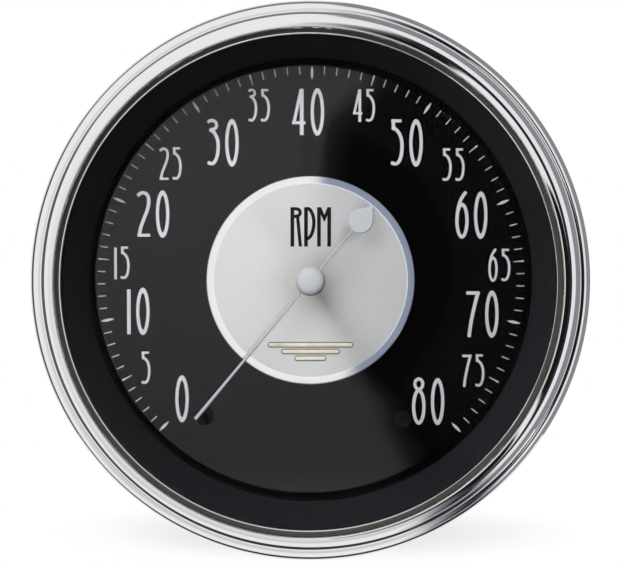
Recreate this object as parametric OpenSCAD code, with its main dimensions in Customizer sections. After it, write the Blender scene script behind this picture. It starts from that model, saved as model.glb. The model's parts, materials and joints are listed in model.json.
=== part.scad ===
// Dash tachometer: a steel case with a rolled bright bezel, an air-core movement and a U clamp.
// Lengths are in millimetres. The dial faces -Y and +Z is up.
// The origin lies on the gauge's axis, in the plane where the bezel seats on the dash panel.
// Modules are drawn lying down, with the dial's up as +Y and the viewer at +Z, and stand() turns them up.

/* [Case] */
// Radius of the neck, which passes through the hole in the panel
neck_r = 42.4; // [41.5:0.1:44]
// Depth from the panel's face to the outside of the back
case_depth = 46; // [44:1:58]
// Thickness of the case's side
case_wall = 0.7; // [0.6:0.05:0.9]
// Thickness of the case's back
back_t = 1; // [0.8:0.1:1.4]
// Rounding between the case's side and back
back_edge = 3; // [2:0.5:4]
// Thickness of the flange that the bezel is rolled over
flange_t = 1; // [0.8:0.1:1.4]

/* [Bezel] */
// How far the bezel stands out past the neck
bezel_overhang = 4.2; // [4:0.1:5]
// Thickness of the bezel's sheet
bezel_wall = 0.7; // [0.5:0.05:0.8]
// Gap between the neck and the edge rolled in behind the flange
crimp_gap = 1.2; // [1:0.1:1.6]
// Rounding of the bezel's edge at the panel
seat_edge = 0.4; // [0.2:0.1:0.8]
// Radius of the outer bead
outer_bead_r = 1.3; // [1.1:0.1:1.5]
// Height of the outer bead's centre under the lip
outer_bead_drop = 2.55; // [2.3:0.05:2.8]
// Angle at which the outer bead ends in the groove
groove_angle = 134; // [125:1:140]
// Radius of the inner bead
inner_bead_r = 1.2; // [1.1:0.05:1.3]
// Distance of the inner bead's centre from the bezel's outside
inner_bead_in = 4; // [3.9:0.05:4.1]
// Height of the inner bead's centre over the lip
inner_bead_rise = 0.85; // [0.7:0.05:1]
// Distance of the window's edge from the bezel's outside
lip_reach = 5.8; // [5.5:0.1:6]
// Thickness of the lip that holds the glass
lip_t = 0.6; // [0.5:0.05:0.7]

/* [Glass] */
// Thickness of the glass
glass_t = 2; // [1.5:0.1:2.5]
// Rise of the glass's dome over the lip's underside
dome_rise = 2.25; // [1:0.25:3]
// Gap between the glass's edge and the case's flange, measured across
glass_inset = 2.5; // [2.4:0.1:2.8]
// Thickness of the rubber ring under the glass
gasket_t = 1; // [0.8:0.1:1.4]
// Width of the rubber ring
gasket_w = 1.5; // [1:0.1:1.6]

/* [Dial] */
// Depth of the dial's face behind the panel's face
dial_depth = 7; // [5:0.5:9]
// Thickness of the dial
dial_t = 1; // [0.6:0.1:1.5]
// Gap between the dial and the case
dial_gap = 0.5; // [0.3:0.1:0.8]
// Thickness of the visor's rim under the rubber ring
visor_rim_t = 2.65; // [2:0.05:3.2]
// Thickness of the visor's wall
visor_wall = 0.55; // [0.4:0.05:0.6]
// How far the visor's mouth lies outside the window's edge
visor_mouth_out = 0.6; // [0.3:0.1:0.8]
// How far the visor's foot lies inside the window's edge
visor_foot_in = 1.34; // [1:0.02:2]
// Angle swept by the scale
scale_sweep = 270; // [240:6:270]
// Number of steps in the scale
scale_steps = 80; // [60:20:80]
// Gap between the scale and the visor's foot
scale_margin = 1.33; // [1:0.01:2]
// Length of a mark at each ten
major_len = 2.75; // [2:0.05:3.5]
// Width of a mark at each ten
major_w = 0.62; // [0.4:0.02:0.8]
// Length of a mark at each five
middle_len = 2; // [1.8:0.05:2.5]
// Length of a single mark
minor_len = 1.53; // [1:0.01:1.8]
// Width of a single mark
minor_w = 0.34; // [0.25:0.01:0.4]
// Thickness of the printed marks
print_t = 0.05; // [0.05:0.01:0.1]

/* [Centre disc] */
// Radius of the bright disc at its foot
disc_r = 18.5; // [16:0.1:20]
// Thickness of the disc
disc_t = 1; // [0.8:0.1:1.5]
// Width of the disc's bevel
disc_bevel = 1.4; // [0.5:0.1:1.6]
// Length of the longest bar in the stepped ornament
ornament_w = 15; // [12:0.5:16]
// Height of each bar in the ornament
ornament_bar = 0.8; // [0.6:0.05:1]
// Distance from one bar to the next
ornament_pitch = 1.2; // [1.1:0.05:1.3]
// Thickness of the ornament
ornament_t = 0.3; // [0.2:0.05:0.5]
// Distance of the ornament's middle bar from the disc's centre
ornament_drop = 12.6; // [10:0.1:12.8]

/* [Pointer] */
// Length of the pointer from its hub to its tip
pointer_len = 31.1; // [28:0.1:34]
// Height of the pointer's underside over the dial
pointer_height = 5.5; // [4.5:0.1:6]
// Thickness of the pointer's sheet
blade_t = 0.4; // [0.3:0.05:0.6]
// Width of the pointer at its hub
blade_hub_w = 0.26; // [0.2:0.02:0.5]
// Width of the pointer at its tip
blade_tip_w = 0.64; // [0.4:0.02:0.8]
// Distance of the tail's round part from the hub
tail_r = 13.1; // [10:0.1:15]
// Radius of the tail's round part
tail_drop_r = 2.07; // [1.5:0.01:2.5]
// Distance of the tail's point from the hub
tail_tip_r = 16.3; // [16:0.1:19]
// Radius of the hub's cap
cap_r = 2.55; // [2:0.05:3.5]
// Height of the hub's cap over the pointer
cap_h = 2.6; // [2:0.1:3]
// Radius of the spindle
spindle_r = 0.6; // [0.5:0.05:0.8]
// Running clearance around the spindle
spindle_clear = 0.05; // [0.03:0.01:0.08]
// Radius of the bush between the pointer and the spindle
bush_r = 1.5; // [1.3:0.1:2]
// Height of the bush under the pointer
bush_h = 2; // [1.5:0.1:3]
// Thickness of the bush's flange
bush_flange_t = 0.6; // [0.4:0.1:0.8]
// Distance of the zero stop from the spindle
low_pin_r = 30.7; // [25:0.1:30.7]
// Angle of the zero stop from straight down, on the left
low_pin_angle = 38; // [30:1:44]
// Distance of the full-scale stop from the spindle
high_pin_r = 29.7; // [25:0.1:30.7]
// Angle of the full-scale stop from straight down, on the right
high_pin_angle = 33.4; // [25:0.2:44]
// Height of the stops' feet
pin_foot_h = 0.6; // [0.4:0.1:1]
// How far the stops stand up past the pointer's sheet
pin_over = 0.5; // [0.3:0.1:1]
// Radius of a stop's core
pin_core_r = 0.62; // [0.4:0.02:0.8]
// Radius of a stop's foot
pin_foot_r = 1.6; // [1.2:0.1:2]
// Gap between the pointer and its stop
stop_gap = 0.03; // [0.02:0.01:0.1]

/* [Movement] */
// Width of the square bobbin
bobbin_w = 14; // [13.6:0.1:15]
// Height of the closed bobbin
bobbin_h = 14; // [13:0.5:15]
// Thickness of each winding
winding_t = 1.3; // [1:0.1:1.4]
// Width of each winding
winding_w = 3.6; // [3:0.1:3.6]
// Distance of each winding from the spindle
winding_gap = 2.1; // [2:0.05:2.3]
// Radius of the rotor magnet
magnet_r = 5; // [4:0.1:5.4]
// Height of the rotor magnet
magnet_h = 4; // [3:0.1:4.6]
// Gap around the rotor magnet
magnet_gap = 0.5; // [0.3:0.1:0.8]
// Height of the bearing's tower over the bobbin
tower_h = 5; // [4:0.5:5]
// Inner radius of the magnetic shield
shield_r = 10.5; // [10.5:0.1:12]
// Thickness of the magnetic shield
shield_wall = 0.6; // [0.4:0.1:1]
// Height of the magnetic shield
shield_h = 20; // [16:1:21]

/* [Light box] */
// Thickness of the light box's walls and floor
box_wall = 1.2; // [0.8:0.1:1.6]
// Height of the bosses between the light box and the circuit board
boss_h = 5.2; // [4:0.1:6]
// Radius of the light box's bosses and of the board's posts
boss_r = 3; // [2.6:0.1:3.4]
// Width of the board outside each lamp's port
lamp_margin = 1.3; // [1:0.1:2]
// Angle of the lamps above the horizontal
lamp_angle = 48; // [44:1:54]
// Radius of a lamp holder's barrel
lamp_barrel_r = 5.1; // [4.5:0.1:5.5]
// Running clearance around a lamp holder's barrel
lamp_clear = 0.08; // [0.04:0.01:0.1]
// How far a lamp holder's lugs stand out past its barrel
lamp_lug_out = 1.4; // [1:0.1:1.8]
// Width of a lamp holder's lugs
lamp_lug_w = 3; // [2:0.1:4]
// Thickness of a lamp holder's lugs
lamp_lug_t = 1.4; // [1:0.1:2]
// How far a lamp holder's flange stands out past its barrel
lamp_flange_out = 2.2; // [1.8:0.1:3]
// Thickness of a lamp holder's flange
lamp_flange_t = 1.5; // [1:0.1:2]
// Height of a lamp holder's fluted grip
lamp_grip_h = 7; // [5:0.5:9]
// Radius of a bulb
bulb_r = 2.6; // [2:0.1:3]
// Length of a bulb's glass
bulb_len = 14; // [10:1:16]

/* [Circuit board] */
// Gap between the circuit board and the case
board_gap = 3.7; // [2:0.1:5]
// Thickness of the circuit board
board_t = 1.6; // [1.2:0.2:2]
// Height of the posts that carry the board
post_h = 7; // [6.5:0.5:9]
// Distance of the posts' centres from the board's edge
post_margin = 4; // [3.6:0.1:5]
// Angle of the posts above and below the horizontal
post_angle = 24; // [20:1:26]
// Radius of the screws
screw_r = 1.2; // [1:0.05:1.3]
// Clearance around the screws
screw_clear = 0.1; // [0.05:0.05:0.3]
// Length of a screw's thread in its post
screw_grip = 2.8; // [2:0.1:3]
// Height of a screw's head
screw_head_h = 1.4; // [1:0.1:1.8]
// Radius of a capacitor
capacitor_r = 3.2; // [2:0.1:4]
// Length of a capacitor
capacitor_h = 5.4; // [4:0.1:6]
// Distance from one chip's pin to the next
pin_pitch = 2.54; // [2.54]
// Width of a chip
chip_w = 6.4; // [6:0.1:7.6]
// Height of a chip over the board
chip_h = 4; // [3:0.1:4.5]
// Radius of a resistor
resistor_r = 1.1; // [0.8:0.1:1.5]
// Length of a resistor
resistor_len = 6; // [4:0.5:6.5]
// Width of the calibration trimmer
trimmer_w = 6.6; // [5:0.1:8]
// Height of the calibration trimmer
trimmer_h = 4.6; // [3:0.1:5]

/* [Back] */
// Distance of the studs from the axis
stud_x = 25.4; // [22:0.1:27]
// Radius of the studs
stud_r = 2.4; // [2:0.1:3]
// Clearance around the studs
stud_clear = 0.08; // [0.05:0.01:0.1]
// Chamfer at a stud's end
stud_chamfer = 0.6; // [0.3:0.1:1]
// Thickness of a stud's round head inside the case
stud_head_h = 1.4; // [1:0.1:2]
// Thickness of the nuts that lock the studs to the case
jam_nut_h = 2.4; // [2:0.1:3]
// Distance of the terminals from the board's edge
terminal_margin = 11; // [10:0.5:13]
// Length of the terminal block past its outer terminals
terminal_end = 9; // [8.5:0.5:10]
// Width of the terminal block
terminal_block_w = 9; // [7:0.5:10]
// Height of the terminal block
terminal_block_h = 4; // [3.5:0.1:5]
// Thickness of the terminal block's ears
terminal_ear_t = 1.6; // [1.2:0.1:2]
// Length of a terminal's blade outside its block
terminal_len = 9; // [8:0.5:10]
// Distance from one terminal to the next
terminal_pitch = 10; // [9:0.5:11]
// Width of a terminal's blade
terminal_w = 6.35; // [4.8:0.05:6.35]
// Thickness of a terminal's blade
terminal_t = 0.8; // [0.5:0.1:1]
// Distance of the selector from the board's edge
selector_margin = 9; // [8:0.5:11]
// Width of the selector switch
selector_w = 10; // [9:0.5:11]
// Height of the selector switch
selector_h = 4.5; // [4:0.1:5.5]
// Radius of the selector's shaft
selector_r = 3; // [2.5:0.1:3.5]
// Running clearance around the selector's shaft
selector_clear = 0.08; // [0.04:0.01:0.1]

/* [Clamp] */
// Width of the clamp's strap
clamp_w = 16; // [12:1:18]
// Thickness of the clamp's strap
clamp_t = 1.6; // [1.2:0.1:2.5]
// Gap between the neck and the clamp's legs
clamp_side_gap = 1.2; // [1:0.1:3]
// Gap between the case's back and the clamp's bridge
clamp_gap = 6.5; // [6:0.5:10]
// Inner radius of the clamp's bends
clamp_bend = 2; // [1:0.5:4]
// Gap between the panel's face and the clamp's feet
panel_t = 3; // [2.5:0.5:6]
// How far the nuts and the clamp can be backed off
clamp_travel = 11.9; // [8:0.1:14]
// Radius of the thumb nuts
thumb_nut_r = 7; // [6:0.5:8]
// Height of the thumb nuts
thumb_nut_h = 6; // [4:0.5:8]
// Thickness of the lock washers
washer_t = 0.8; // [0.6:0.1:1.2]

/* [Hidden] */
$fn = 96;

eps = 0.01;
run_gap = 0.06;
press_gap = 0.03;
slip_gap = 0.1;
slot_gap = 0.4;
side_gap = 0.15;
flange_gap = 0.1;

// Levels along the axis, from the panel's face towards the viewer
flange_rear = bezel_wall;
flange_front = flange_rear + flange_t;
visor_top = flange_front + visor_rim_t;
gasket_top = visor_top + gasket_t;
lip_under = gasket_top + glass_t;
lip_top = lip_under + lip_t;
dial_top = -dial_depth;
dial_rear = dial_top - dial_t;
back_rear = -case_depth;
back_front = back_rear + back_t;
board_rear = back_front + post_h;
board_front = board_rear + board_t;
box_floor_rear = board_front + boss_h;
box_floor_front = box_floor_rear + box_wall;
bridge_front = back_rear - clamp_gap;
bridge_rear = bridge_front - clamp_t;
nut_front = bridge_rear - washer_t - run_gap;

// Radii worked out from the neck
neck_in_r = neck_r - case_wall;
bezel_r = neck_r + bezel_overhang;
crimp_r = neck_r + crimp_gap;
flange_r = bezel_r - bezel_wall - flange_gap;
window_r = bezel_r - lip_reach;
glass_r = flange_r - glass_inset;
dial_r = neck_in_r - dial_gap;
visor_mouth_r = window_r + visor_mouth_out;
visor_foot_r = window_r - visor_foot_in;
scale_r = visor_foot_r - scale_margin;
board_r = neck_in_r - board_gap;
post_x = (board_r - post_margin) * cos(post_angle);
post_y = (board_r - post_margin) * sin(post_angle);

// The bezel's two beads, the groove between them and the slope down to the window
outer_bead_c = [bezel_r - outer_bead_r, lip_top - outer_bead_drop];
inner_bead_c = [bezel_r - inner_bead_in, lip_top + inner_bead_rise];
groove = outer_bead_c + outer_bead_r * [cos(groove_angle), sin(groove_angle)];
lip_edge = [window_r, lip_top];
side_angle = heading(groove - inner_bead_c) + acos(inner_bead_r / norm(groove - inner_bead_c));
drop_angle = 360 + heading(lip_edge - inner_bead_c) - acos(inner_bead_r / norm(lip_edge - inner_bead_c));

// Levels and sizes in the movement
winding_over = 2 * winding_t;
movement_stand = 0.6;
movement_z = board_front + movement_stand + bobbin_h / 2 + winding_over;
dial_hole_r = spindle_r + 0.6;
cavity_r = magnet_r + magnet_gap;
cavity_h = magnet_h / 2 + magnet_gap;
bearing_wall = 0.75;
bearing_r = spindle_r + spindle_clear + bearing_wall;
tower_r = bearing_r + 0.5;
bearing_h = 3.4;
tower_top = movement_z + bobbin_h / 2 + tower_h;
spindle_foot = movement_z - bobbin_h / 2 + 1.2;
blade_rear = dial_top + pointer_height;
blade_front = blade_rear + blade_t;

// The pointer rests beside its zero stop and ends its travel beside the other
function blade_half(r) = (blade_hub_w + (blade_tip_w - blade_hub_w) * r / pointer_len) / 2;
function beside(r) = asin((pin_core_r + blade_half(r) + stop_gap) / r);
rest_turn = -(180 - low_pin_angle - beside(low_pin_r));
pin_top = blade_front + pin_over;

// Fittings at the back
lamp_hole_r = lamp_barrel_r + lamp_clear;
lamp_lug_r = lamp_barrel_r + lamp_lug_out;
lamp_port_r = lamp_lug_r + 0.5;
lamp_unlock = 45;
lamp_notch_gap = 0.3;
lamp_flange_r = lamp_barrel_r + lamp_flange_out;
lamp_top = board_front + 1.4;
lamp_well = 4;
lamp_flute_r = 0.9;
lamp_r = board_r - lamp_port_r - lamp_margin;
lamp_x = lamp_r * cos(lamp_angle);
lamp_y = lamp_r * sin(lamp_angle);
selector_hole_r = selector_r + selector_clear;
selector_y = board_r - selector_margin;
terminal_y = board_r - terminal_margin;
rivet_x = terminal_pitch + terminal_end - 2.5;
stud_hole_r = stud_r + stud_clear;
stud_end = nut_front - thumb_nut_h - clamp_travel - 2;
clamp_in = neck_r + clamp_side_gap;
clamp_out = clamp_in + clamp_t;

// Direction of a plane vector, in degrees
function heading(v) = atan2(v.y, v.x);

// Points along a circular arc
function arc(c, r, from, to, n = 8) =
    [for (i = [0:n]) c + r * [cos(from + (to - from) * i / n), sin(from + (to - from) * i / n)]];

module stand() {
    rotate([90, 0, 0])
        children();
}

// A solid disc between two levels
module plate(r, low, high) {
    translate([0, 0, low])
        cylinder(r = r, h = high - low);
}

// A ring between two levels
module ring(r, bore, low, high) {
    difference() {
        plate(r, low, high);
        plate(bore, low - 1, high + 1);
    }
}

// A block centred on the axis, between two levels
module block(l, w, low, high) {
    translate([-l / 2, -w / 2, low])
        cube([l, w, high - low]);
}

// One on the left and one on the right
module pair(x, y) {
    for (side = [-1, 1])
        translate([side * x, y, 0])
            children();
}

// One at each corner of a rectangle
module corners(x, y) {
    for (up = [-1, 1])
        pair(x, up * y)
            children();
}

// One at each terminal
module at_terminals() {
    for (i = [-1:1])
        translate([i * terminal_pitch, -terminal_y, 0])
            children();
}

// A pan-headed screw, whose head sits on a level and whose shank runs to another
module screw(seat, end) {
    head_r = 2 * screw_r;
    way = end < seat ? 1 : -1;
    difference() {
        union() {
            plate(screw_r, min(seat, end), max(seat, end));
            plate(head_r, min(seat, seat + way * screw_head_h), max(seat, seat + way * screw_head_h));
        }
        for (turn = [0, 90])
            rotate([0, 0, turn])
                translate([0, 0, seat + way * screw_head_h])
                    cube([2.2 * screw_r, 0.4 * screw_r, screw_head_h], center = true);
    }
}

// Case

module case_shell() {
    inner_edge = back_edge - case_wall;
    side = arc([neck_r - back_edge, back_rear + back_edge], back_edge, 0, -90);
    inside = arc([neck_in_r - inner_edge, back_front + inner_edge], inner_edge, -90, 0);
    rotate_extrude()
        polygon(concat(
            [[flange_r, flange_front], [flange_r, flange_rear], [neck_r, flange_rear]],
            side,
            [[0, back_rear], [0, back_front]],
            inside,
            [[neck_in_r, flange_front]]
        ));
}

// The hole of a twist-in lamp: a bore with a notch on each side
module lamp_hole(low, high) {
    plate(lamp_hole_r, low, high);
    rotate([0, 0, -lamp_unlock])
        block(2 * (lamp_lug_r + lamp_notch_gap), lamp_lug_w + 2 * lamp_notch_gap, low, high);
}

module case() {
    low = back_rear - 1;
    high = back_front + 1;
    color("darkslategray")
        stand()
            difference() {
                case_shell();
                pair(stud_x, 0)
                    plate(stud_hole_r, low, high);
                pair(lamp_x, lamp_y)
                    lamp_hole(low, high);
                translate([0, selector_y, 0])
                    plate(selector_hole_r, low, high);
                at_terminals()
                    block(terminal_w + 2 * slot_gap, terminal_t + 2 * slot_gap, low, high);
                pair(rivet_x, -terminal_y)
                    plate(screw_r + screw_clear, low, high);
                corners(post_x, post_y)
                    plate(screw_r + screw_clear, low, high);
            }
}

// Front

module bezel() {
    wall = bezel_wall;
    corner = [bezel_r - seat_edge, seat_edge];
    slope = [cos(drop_angle), sin(drop_angle)];
    color("gainsboro")
        stand()
            rotate_extrude()
                polygon(concat(
                    [[crimp_r, 0]],
                    arc(corner, seat_edge, -90, 0, 4),
                    arc(outer_bead_c, outer_bead_r, 0, groove_angle, 12),
                    arc(inner_bead_c, inner_bead_r, side_angle, drop_angle, 12),
                    [lip_edge, [window_r, lip_under], [window_r + wall, lip_under]],
                    [lip_edge - wall * slope],
                    arc(inner_bead_c, inner_bead_r - wall, drop_angle, side_angle, 8),
                    arc(groove, wall, side_angle + 180, groove_angle + 180, 8),
                    arc(outer_bead_c, outer_bead_r - wall, groove_angle, 0, 8),
                    [[bezel_r - wall, flange_rear], [crimp_r, flange_rear]]
                ));
}

module glass() {
    dome_r = (window_r * window_r + dome_rise * dome_rise) / (2 * dome_rise);
    dome_z = lip_under + dome_rise - dome_r;
    color("lightcyan", 0.35)
        stand()
            difference() {
                intersection() {
                    translate([0, 0, dome_z])
                        sphere(r = dome_r, $fn = 240);
                    plate(glass_r, gasket_top, lip_under + dome_rise + 1);
                }
                intersection() {
                    translate([0, 0, dome_z])
                        sphere(r = dome_r - glass_t, $fn = 240);
                    plate(glass_r - gasket_w, gasket_top - 1, lip_under + dome_rise);
                }
            }
}

module glass_gasket() {
    color("black")
        stand()
            ring(glass_r, glass_r - gasket_w, visor_top, gasket_top);
}

module visor() {
    slope = (visor_mouth_r - visor_foot_r) / (visor_top - dial_top);
    neck_top_r = visor_foot_r + slope * (flange_rear - dial_top);
    outside = neck_in_r - side_gap;
    color("dimgray")
        stand()
            rotate_extrude()
                polygon([
                    [visor_foot_r, dial_top],
                    [visor_foot_r + visor_wall, dial_top],
                    [min(outside, neck_top_r + visor_wall), flange_rear],
                    [min(outside, neck_top_r + visor_wall), flange_front],
                    [flange_r, flange_front],
                    [flange_r, visor_top - 1],
                    [flange_r - 1, visor_top],
                    [visor_mouth_r, visor_top]
                ]);
}

module dial() {
    color("#18191c")
        stand()
            difference() {
                plate(dial_r, dial_rear, dial_top);
                plate(dial_hole_r, dial_rear - 1, dial_top + 1);
                at_stop_pins()
                    plate(pin_core_r + press_gap, dial_rear - 1, dial_top + 1);
            }
}

// A mark at each ten: a pointed ellipse made of two arcs
module major_mark() {
    half = major_len / 2;
    bow_r = (half * half + major_w * major_w / 4) / major_w;
    reach = asin(half / bow_r);
    translate([0, scale_r - half, 0])
        linear_extrude(print_t)
            polygon(concat(
                arc([major_w / 2 - bow_r, 0], bow_r, -reach, reach),
                arc([bow_r - major_w / 2, 0], bow_r, 180 - reach, 180 + reach)
            ));
}

// A mark at each five: a bar that widens outwards
module middle_mark() {
    linear_extrude(print_t)
        polygon([
            [-minor_w / 2, scale_r - middle_len],
            [minor_w / 2, scale_r - middle_len],
            [minor_w * 0.7, scale_r],
            [-minor_w * 0.7, scale_r]
        ]);
}

module minor_mark() {
    translate([-minor_w / 2, scale_r - minor_len, 0])
        cube([minor_w, minor_len, print_t]);
}

module scale_marks() {
    color("whitesmoke")
        stand()
            for (i = [0:scale_steps])
                rotate([0, 0, scale_sweep / 2 - i * scale_sweep / scale_steps])
                    translate([0, 0, dial_top])
                        if (i % 10 == 0)
                            major_mark();
                        else if (i % 5 == 0)
                            middle_mark();
                        else
                            minor_mark();
}

module centre_disc() {
    color("silver")
        stand()
            difference() {
                rotate_extrude()
                    polygon([
                        [0, dial_top],
                        [disc_r, dial_top],
                        [disc_r, dial_top + 0.2],
                        [disc_r - disc_bevel, dial_top + disc_t],
                        [0, dial_top + disc_t]
                    ]);
                plate(dial_hole_r, dial_top - 1, dial_top + disc_t + 1);
            }
}

// Three bars with round ends, each shorter than the one above
module disc_ornament() {
    color("beige")
        stand()
            for (step = [-1:1]) {
                half = (ornament_w - ornament_bar) / 2 * (2 - step) / 3;
                translate([0, -ornament_drop - step * ornament_pitch, dial_top + disc_t])
                    linear_extrude(ornament_t)
                        polygon(concat(
                            arc([half, 0], ornament_bar / 2, -90, 90),
                            arc([-half, 0], ornament_bar / 2, 90, 270)
                        ));
            }
}

module at_stop_pins() {
    rotate([0, 0, 180 - low_pin_angle])
        translate([0, low_pin_r, 0])
            children();
    rotate([0, 0, 180 + high_pin_angle])
        translate([0, high_pin_r, 0])
            children();
}

module stop_pins() {
    color("black")
        stand()
            at_stop_pins() {
                plate(pin_core_r, dial_rear, pin_top);
                plate(pin_foot_r, dial_top, dial_top + pin_foot_h);
            }
}

// Pointer and spindle

module blade_outline() {
    hub = blade_hub_w / 2;
    tip = blade_tip_w / 2;
    lean = acos(tail_drop_r / (tail_tip_r - tail_r));
    difference() {
        union() {
            polygon([[-hub, 0], [hub, 0], [tip, pointer_len], [-tip, pointer_len]]);
            translate([-hub, -tail_r])
                square([2 * hub, tail_r]);
            polygon(concat(
                arc([0, -tail_r], tail_drop_r, lean - 90, 270 - lean, 32),
                [[0, -tail_tip_r]]
            ));
            circle(r = spindle_r + 0.8);
        }
        circle(r = spindle_r);
    }
}

module pointer_blade() {
    color("silver")
        stand()
            rotate([0, 0, -rest_turn])
                translate([0, 0, blade_rear])
                    linear_extrude(blade_t)
                        blade_outline();
}

module pointer_cap() {
    side_h = 0.45 * cap_h;
    crown = cap_h - side_h;
    color("silver")
        stand()
            rotate_extrude()
                polygon(concat(
                    [[0, blade_front], [cap_r, blade_front]],
                    [for (i = [0:8]) [cap_r * cos(i * 11.25), blade_front + side_h + crown * sin(i * 11.25)]]
                ));
}

module pointer_bush() {
    color("goldenrod")
        stand()
            union() {
                ring(bush_r, spindle_r, blade_rear - bush_flange_t, blade_rear);
                ring((bush_r + spindle_r) / 2, spindle_r, blade_rear - bush_h, blade_rear - bush_flange_t + eps);
            }
}

module spindle() {
    color("lightgray")
        stand()
            plate(spindle_r, spindle_foot, blade_front);
}

module rotor_magnet() {
    color("slategray")
        stand()
            ring(magnet_r, spindle_r, movement_z - magnet_h / 2, movement_z + magnet_h / 2);
}

// Movement

module bobbin_upper() {
    top = movement_z + bobbin_h / 2;
    color("ivory")
        stand()
            difference() {
                union() {
                    block(bobbin_w, bobbin_w, movement_z, top);
                    plate(tower_r, top - 1, tower_top);
                }
                plate(cavity_r, movement_z - 1, movement_z + cavity_h);
                plate(bearing_r, tower_top - bearing_h, tower_top + 1);
                plate(spindle_r + 0.3, movement_z, tower_top);
            }
}

module bobbin_lower() {
    low = movement_z - bobbin_h / 2;
    foot = bobbin_w / 2 - winding_gap - winding_w - 0.05;
    color("ivory")
        stand()
            difference() {
                union() {
                    block(bobbin_w, bobbin_w, low, movement_z);
                    corners((bobbin_w - foot) / 2, (bobbin_w - foot) / 2)
                        block(foot, foot, board_front, low + 1);
                }
                plate(cavity_r, movement_z - cavity_h, movement_z + 1);
                plate(bearing_r, low - 1, movement_z);
            }
}

// One winding in two halves, one on each side of the spindle
module winding(span, height) {
    for (side = [-1, 1])
        translate([0, side * (winding_gap + winding_w / 2), movement_z])
            difference() {
                cube([span + 2 * winding_t, winding_w, height + 2 * winding_t], center = true);
                cube([span, winding_w + 1, height], center = true);
            }
}

module coil_inner() {
    color("peru")
        stand()
            winding(bobbin_w, bobbin_h);
}

module coil_outer() {
    color("chocolate")
        stand()
            rotate([0, 0, 90])
                winding(bobbin_w, bobbin_h + 2 * winding_t);
}

module shield_can() {
    color("gray")
        stand()
            ring(shield_r + shield_wall, shield_r, board_front, board_front + shield_h);
}

module upper_bearing() {
    color("gold")
        stand()
            ring(bearing_r, spindle_r + spindle_clear, tower_top - bearing_h, tower_top);
}

module lower_bearing() {
    low = movement_z - bobbin_h / 2;
    color("gold")
        stand()
            difference() {
                plate(bearing_r, low, low + bearing_h);
                plate(spindle_r + spindle_clear, spindle_foot - run_gap, low + bearing_h + 1);
            }
}

// Light box and circuit board

module light_box() {
    outside = neck_in_r - 2 * side_gap;
    tube_r = shield_r + shield_wall + 1;
    color("white")
        stand()
            difference() {
                union() {
                    difference() {
                        plate(outside, box_floor_rear, dial_rear);
                        plate(outside - box_wall, box_floor_front, dial_rear + 1);
                    }
                    ring(tube_r + box_wall, tube_r, box_floor_rear, dial_rear);
                    corners(post_x, post_y)
                        plate(boss_r, board_front, box_floor_front);
                }
                plate(tube_r, box_floor_rear - 1, dial_rear + 1);
                pair(lamp_x, lamp_y)
                    plate(lamp_port_r, box_floor_rear - 1, box_floor_front + 1);
                corners(post_x, post_y)
                    plate(screw_r + screw_clear, board_front - 1, box_floor_front + 1);
            }
}

module circuit_board() {
    low = board_rear - 1;
    high = board_front + 1;
    color("darkgreen")
        stand()
            difference() {
                plate(board_r, board_rear, board_front);
                pair(lamp_x, lamp_y)
                    plate(lamp_port_r, low, high);
                corners(post_x, post_y)
                    plate(screw_r + screw_clear, low, high);
                at_terminals()
                    block(terminal_w + 2 * slip_gap, terminal_t + 2 * slip_gap, low, high);
            }
}

module board_posts() {
    color("silver")
        stand()
            corners(post_x, post_y)
                difference() {
                    translate([0, 0, back_front])
                        cylinder(r = boss_r, h = post_h, $fn = 6);
                    plate(screw_r + screw_clear / 2, back_front - 1, board_rear + 1);
                }
}

module board_screws() {
    color("lightgray")
        stand()
            corners(post_x, post_y)
                screw(box_floor_front, board_rear - screw_grip);
}

module case_screws() {
    color("lightgray")
        stand()
            corners(post_x, post_y)
                screw_from_behind();
}

module screw_from_behind() {
    mirror([0, 0, 1])
        screw(-back_rear, -back_front - screw_grip);
}

// Components are placed by shares of the board's radius
module on_board(place) {
    translate([place.x * board_r, place.y * board_r, 0])
        children();
}

module capacitors() {
    lip_r = 1.06 * capacitor_r;
    color("midnightblue")
        stand()
            for (place = [[-0.34, -0.37], [-0.1, -0.37], [0.32, 0.26]])
                on_board(place)
                    union() {
                        plate(capacitor_r, board_rear - capacitor_h, board_rear);
                        plate(lip_r, board_rear - 0.2 * capacitor_h, board_rear);
                    }
}

// A chip with a row of pins on each side
module chip(pins) {
    pin_w = 0.24 * pin_pitch;
    pin_reach = 0.32 * pin_pitch;
    pin_y = (chip_w + pin_reach) / 2 - eps;
    block(pins * pin_pitch + 2 * pin_w, chip_w, board_rear - chip_h, board_rear - 0.15 * chip_h);
    for (i = [0:pins - 1])
        for (side = [-1, 1])
            translate([(i - (pins - 1) / 2) * pin_pitch, side * pin_y, 0])
                block(pin_w, pin_reach, board_rear - 0.65 * chip_h, board_rear);
}

module chips() {
    color("#202020")
        stand() {
            on_board([0, 0.05])
                chip(7);
            on_board([0.29, -0.37])
                chip(4);
        }
}

module resistors() {
    across = 3.6 * resistor_r;
    along = 1.3 * resistor_len;
    color("tan")
        stand()
            for (i = [0:2])
                for (row = [-0.5, 0.5])
                    on_board([-0.34, 0])
                        translate([-i * across, row * along, board_rear - resistor_r])
                            rotate([90, 0, 0])
                                cylinder(r = resistor_r, h = resistor_len, center = true);
}

module trimmer() {
    color("royalblue")
        stand()
            on_board([0.58, -0.53])
                difference() {
                    block(trimmer_w, trimmer_w, board_rear - trimmer_h, board_rear);
                    translate([0, 0, board_rear - trimmer_h])
                        cube([0.4 * trimmer_w, 0.1 * trimmer_w, 0.5 * trimmer_h], center = true);
                }
}

// Fittings at the back

module selector_switch() {
    color("black")
        stand()
            translate([0, selector_y, 0])
                difference() {
                    block(selector_w, selector_w, board_rear - selector_h, board_rear);
                    plate(selector_hole_r, board_rear - selector_h - 1, board_rear - 1);
                }
}

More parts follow.
